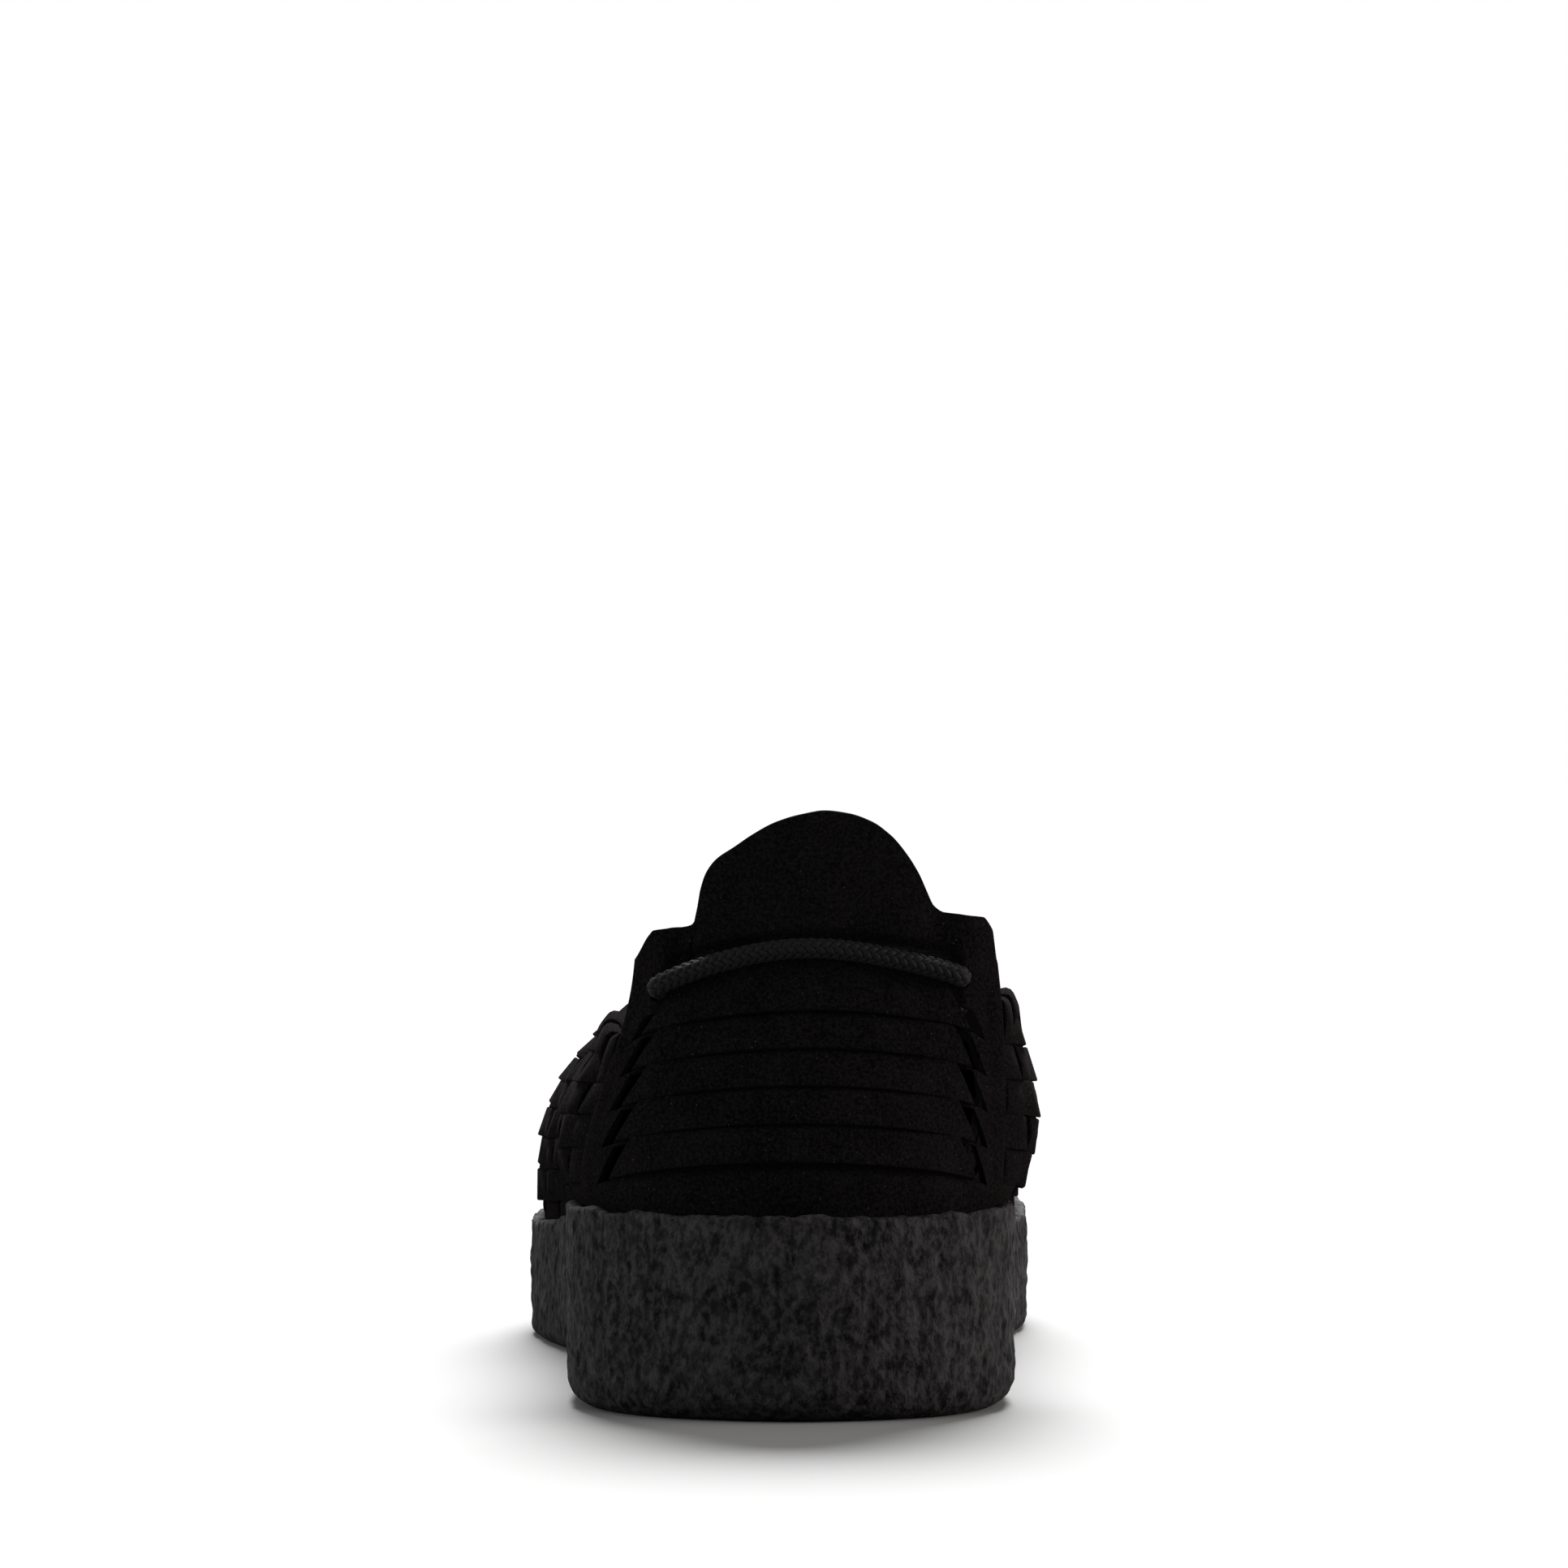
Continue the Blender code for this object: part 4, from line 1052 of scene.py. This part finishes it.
def rowPieces(row):
    # one row, from post to post or from edge to edge of the vamp
    start, stop = heelEnd - weave["rowUnderPost"], loopLength - heelEnd + weave["rowUnderPost"]
    keys = np.linspace(start, stop, 1400)
    front, share = frontOf(keys)
    low = last["firstRow"] + (row - 1) * last["rowPitch"]
    room = np.where(share < apron["start"], collarUp(keys) - weave["rowUnderCollar"], front + weave["rowUnderApron"])
    fits = keys[room > low + weave["leastRow"] * last["rowPitch"]]
    if len(fits) < 40:
        return []
    start, stop = fits[0], fits[-1]
    cuts = int((stop - start) / weave["rowCut"])
    blank = stripBlank(weave["rowWide"], weave["thick"], cuts, weave["soft"])

    def place(across, along, thick):
        around = start + (stop - start) * along
        middle = low + last["rowPitch"] / 2
        most = np.interp(around, keys, room)
        up = middle + across
        up = low + (up - low) * np.clip((most - low) / weave["rowWide"], 0.3, 1)
        tuck = sum(np.exp(-(end * (stop - start) / weave["tuckLength"]) ** 2) for end in (along, 1 - along))
        out = weave["middle"] + rowOut(row, around) * weaveFoot(middle) * (1 - tuck) - weave["tuck"] * tuck
        return onLast(around, up, out + thick - weave["rowLean"] * across / weave["rowWide"])

    piece = copied(blank, f"row{row}", place)
    discard(blank)
    return [piece]


rowsMade = [piece for row in range(0, weave["vampRows"] + 2) for piece in rowPieces(row)]
weaveRows = joined(rowsMade, "weaveRows")
smoothed(weaveRows, 50)
finished(weaveRows, upperSuede, "black_suede")

# Apron: the plain top of the vamp, over the ends of the strips
apronEnds = (sideLength["lateral"] * apron["start"], loopLength - sideLength["medial"] * apron["start"])


def apronPlace(u, v):
    around = apronEnds[0] + (apronEnds[1] - apronEnds[0]) * u
    front, _ = frontOf(around)
    top = collarUp(around)
    low = front - apron["over"] * smoothStep(0, 0.05, np.minimum(u, 1 - u))
    up = low + (top - low) * v
    return onLast(around, up, apron["proud"] * (1 - smoothStep(0.0, 0.012, up - low)) + apron["stand"])


apronPiece = laidGrid("apron", apron["columns"], apron["rows"], apronPlace)
thickened(apronPiece, apron["thick"], apron["soft"])
smoothed(apronPiece, 45)
finished(apronPiece, upperSuede, "black_suede")

# Collar binding: a strip folded over the top edge, under the uprights' folds
binding = {
    "columns": 620, "high": 0.0046, "radius": 0.0009, "wider": 0.0006, "thick": 0.0007, "middle": -0.0009,
    "underPost": 0.002,
}


def bindingPlace(u, v):
    around = heelEnd - binding["underPost"] + (loopLength - 2 * heelEnd + 2 * binding["underPost"]) * u
    top = collarUp(around)
    _, share = frontOf(around)
    radius = binding["radius"] + binding["wider"] * smoothStep(apron["start"] - 0.02, apron["start"] + 0.03, share)
    path = v * (2 * binding["high"] + math.pi * radius)
    turn = np.clip((path - binding["high"]) / radius, 0, math.pi)
    down = np.maximum(path - binding["high"] - math.pi * radius, 0)
    up = np.where(path < binding["high"], top - binding["high"] + path, top + np.sin(turn) * radius - down)
    return onLast(around, up, binding["middle"] + np.cos(turn) * radius)


bindingPiece = laidGrid("collarBinding", binding["columns"], 14, bindingPlace)
turnOut(bindingPiece)
applied(bindingPiece, "SOLIDIFY", thickness=binding["thick"], offset=0.0)
smoothed(bindingPiece, 50)
finished(bindingPiece, upperSuede, "black_suede")
print("weave done")

# Cord: sixteen yarns braided two over two, out of one eyelet and into the other
cord = {
    "diameter": 0.0037, "tail": 0.0050, "rise": 0.0455, "high": 0.0001, "bend": 0.0022, "stand": 0.0005,
    "turns": (30, 60, 85), "ways": (0.9, 0.78, 0.66, 0.52, 0.38, 0.25, 0.12), "samples": 300,
    "yarns": 8, "yarn": 0.00040, "wave": 0.00024, "pitch": 0.0128, "flat": 1.22, "deep": 0.62, "yarnRings": 360,
}


def cordPoint(side, arc, out, drop):
    # a point of the cord, on the column at that arc and that far below the cord's middle
    around = arc if side == "lateral" else -arc
    column = int(round((around / loopLength) % 1.0 * loop["columns"])) % loop["columns"]
    up = np.interp(rimBack + cord["rise"] - drop, lastGrid[column, :, 2], reachUp)
    return onLast(np.array([around]), up, out)[0]


def cordRoute():
    stand = cord["diameter"] / 2 + last["clearance"] + cord["stand"]
    inside = -last["leather"] - cord["diameter"] / 2
    tail, bend = cord["tail"], cord["bend"]
    route = []
    for side in ("lateral", "medial"):
        around, up = eyelets[side]
        hole = abs(around) - heel["eyeletWide"] + cord["diameter"] / 2 + 0.0001
        height = float(onLast(np.array([around]), up, 0.0)[0][2])
        drop = rimBack + cord["rise"] - height - cord["high"]
        # inside, the end turns forwards along the wall, behind the open side of the hole
        steps = [(hole + tail, inside - 0.0004), (hole + tail * 0.6, inside - 0.0003),
                 (hole + tail * 0.25, inside + 0.0003), (hole + 0.0003, -0.0012), (hole, 0.0)]
        for turn in np.radians(cord["turns"]):
            steps.append((hole - bend * (1 - math.cos(turn)), stand * math.sin(turn)))
        steps += [(way * (hole - bend), stand) for way in cord["ways"]]
        run = [cordPoint(side, arc, out, drop * (arc / hole) ** 2) for arc, out in steps]
        route = run + [cordPoint(side, 0.0, stand, 0.0)] if side == "lateral" else route + run[::-1]
    route = np.array(route)
    keys = np.concatenate([[0.0], np.cumsum(np.linalg.norm(np.diff(route, axis=0), axis=1))])
    wanted = np.linspace(0, keys[-1], cord["samples"])
    smooth = np.column_stack([smoothThrough(keys, route[:, k], wanted) for k in range(3)])
    for _ in range(12):
        smooth[1:-1] = (smooth[:-2] + 2 * smooth[1:-1] + smooth[2:]) / 4
    return smooth


cordPath = cordRoute()
cordSteps = np.linalg.norm(np.diff(cordPath, axis=0), axis=1)
cordReach = np.concatenate([[0.0], np.cumsum(cordSteps)])
cordAlong = np.gradient(cordPath, axis=0)
cordAlong /= np.linalg.norm(cordAlong, axis=1)[:, None]
cordSide = np.zeros_like(cordPath)
cordSide[0] = np.cross(cordAlong[0], [0, 0, 1])
for i in range(1, len(cordPath)):
    carried = cordSide[i - 1] - cordAlong[i] * np.dot(cordSide[i - 1], cordAlong[i])
    cordSide[i] = carried / np.linalg.norm(carried)
cordSide[0] /= np.linalg.norm(cordSide[0])
cordOver = np.cross(cordAlong, cordSide)


def onCord(reach, angle, radius):
    parts = [np.column_stack([np.interp(reach, cordReach, field[:, k]) for k in range(3)])
             for field in (cordPath, cordSide, cordOver)]
    return parts[0] + parts[1] * (np.cos(angle) * radius)[:, None] + parts[2] * (np.sin(angle) * radius)[:, None]


def yarnPiece(index, hand):
    # one yarn of the braid, winding one way round the cord
    turns = cordReach[-1] / cord["pitch"]
    base = cord["diameter"] / 2 - cord["yarn"] * cord["deep"] - cord["wave"]
    lean = np.arctan2(2 * math.pi * base, cord["pitch"])
    heights = []

    def place(u, v):
        wound = v * turns * 2 * math.pi
        crossing = wound * cord["yarns"] / math.pi
        # the yarns of one hand are over where those of the other are under
        lift = hand * np.cos(math.pi * (crossing - 0.5 * hand) / 2 + hand * math.pi * index)
        angle = 2 * math.pi * index / cord["yarns"] + hand * wound
        section = u * 2 * math.pi
        wide = np.cos(section) * cord["yarn"] * cord["flat"] / base
        radius = base + lift * cord["wave"] + np.sin(section) * cord["yarn"] * cord["deep"]
        # a height for painted shade on the braid: lower where the yarn dips under another and on its inner side
        heights.append(0.5 + 0.32 * lift + 0.30 * np.sin(section))
        reach = np.clip(v * cordReach[-1] - hand * wide * base * math.sin(lean), 0, cordReach[-1])
        return onCord(reach, angle + wide * math.cos(lean), radius)

    piece = laidGrid(f"yarn{index}{hand}", 7, cord["yarnRings"], place)
    field = piece.data.attributes.new("height", "FLOAT", "POINT")
    field.data.foreach_set("value", heights[0].astype(np.float32))
    return piece


yarns = [yarnPiece(index, hand) for index in range(cord["yarns"]) for hand in (1, -1)]
for yarn in yarns:
    closedUp(yarn)
cordPiece = joined(yarns, "heelCord")
smoothed(cordPiece, 80)
finished(cordPiece, braidYarn, "braided_cord", "cord")
print("cord length", round(float(cordReach[-1]), 4))

# Studio: a pale floor, a bright white room and two soft side lights
studio = {
    "room": 1.0, "floor": 0.12, "floorSize": 400.0, "sun": 31.0, "sunSpread": 34.0, "sunFrom": (0.06, 0.85, 1.0),
    "lightsAimAt": (0, -0.05, 0.05),
}
deselect()
bpy.ops.mesh.primitive_plane_add(size=studio["floorSize"], location=(0, 0, 0))
floor = newPiece("studioFloor")
floorFinish = Finish("paleFloor", (studio["floor"],) * 3, 0.9, **{"Specular IOR Level": 0.0})
floor.data.materials.append(floorFinish.material)

world = bpy.data.worlds.new("room")
bpy.context.scene.world = world
world.use_nodes = True
world.node_tree.nodes["Background"].inputs["Color"].default_value = (1.0, 1.0, 1.0, 1)
world.node_tree.nodes["Background"].inputs["Strength"].default_value = studio["room"]

# name, place, size, watts, colour
softLights = [
    ("softRight", (1.15, -0.20, 0.27), 0.8, 27.0, (1.0, 0.93, 0.88)),
    ("softLeft", (-1.20, -0.40, 0.29), 0.8, 13.0, (1.0, 1.0, 1.0)),
]
for name, place, size, watts, tint in softLights:
    data = bpy.data.lights.new(name, "AREA")
    data.size = size
    data.energy = watts
    data.color = tint
    light = bpy.data.objects.new(name, data)
    bpy.context.scene.collection.objects.link(light)
    light.location = place
    light.rotation_euler = (Vector(studio["lightsAimAt"]) - Vector(place)).to_track_quat("-Z", "Y").to_euler()

sunData = bpy.data.lights.new("sun", "SUN")
sunData.energy = studio["sun"]
sunData.angle = math.radians(studio["sunSpread"])
sun = bpy.data.objects.new("sun", sunData)
bpy.context.scene.collection.objects.link(sun)
sun.rotation_euler = Vector(studio["sunFrom"]).to_track_quat("Z", "Y").to_euler()

bpy.context.scene.view_settings.view_transform = "Standard"
bpy.context.scene.view_settings.look = "None"
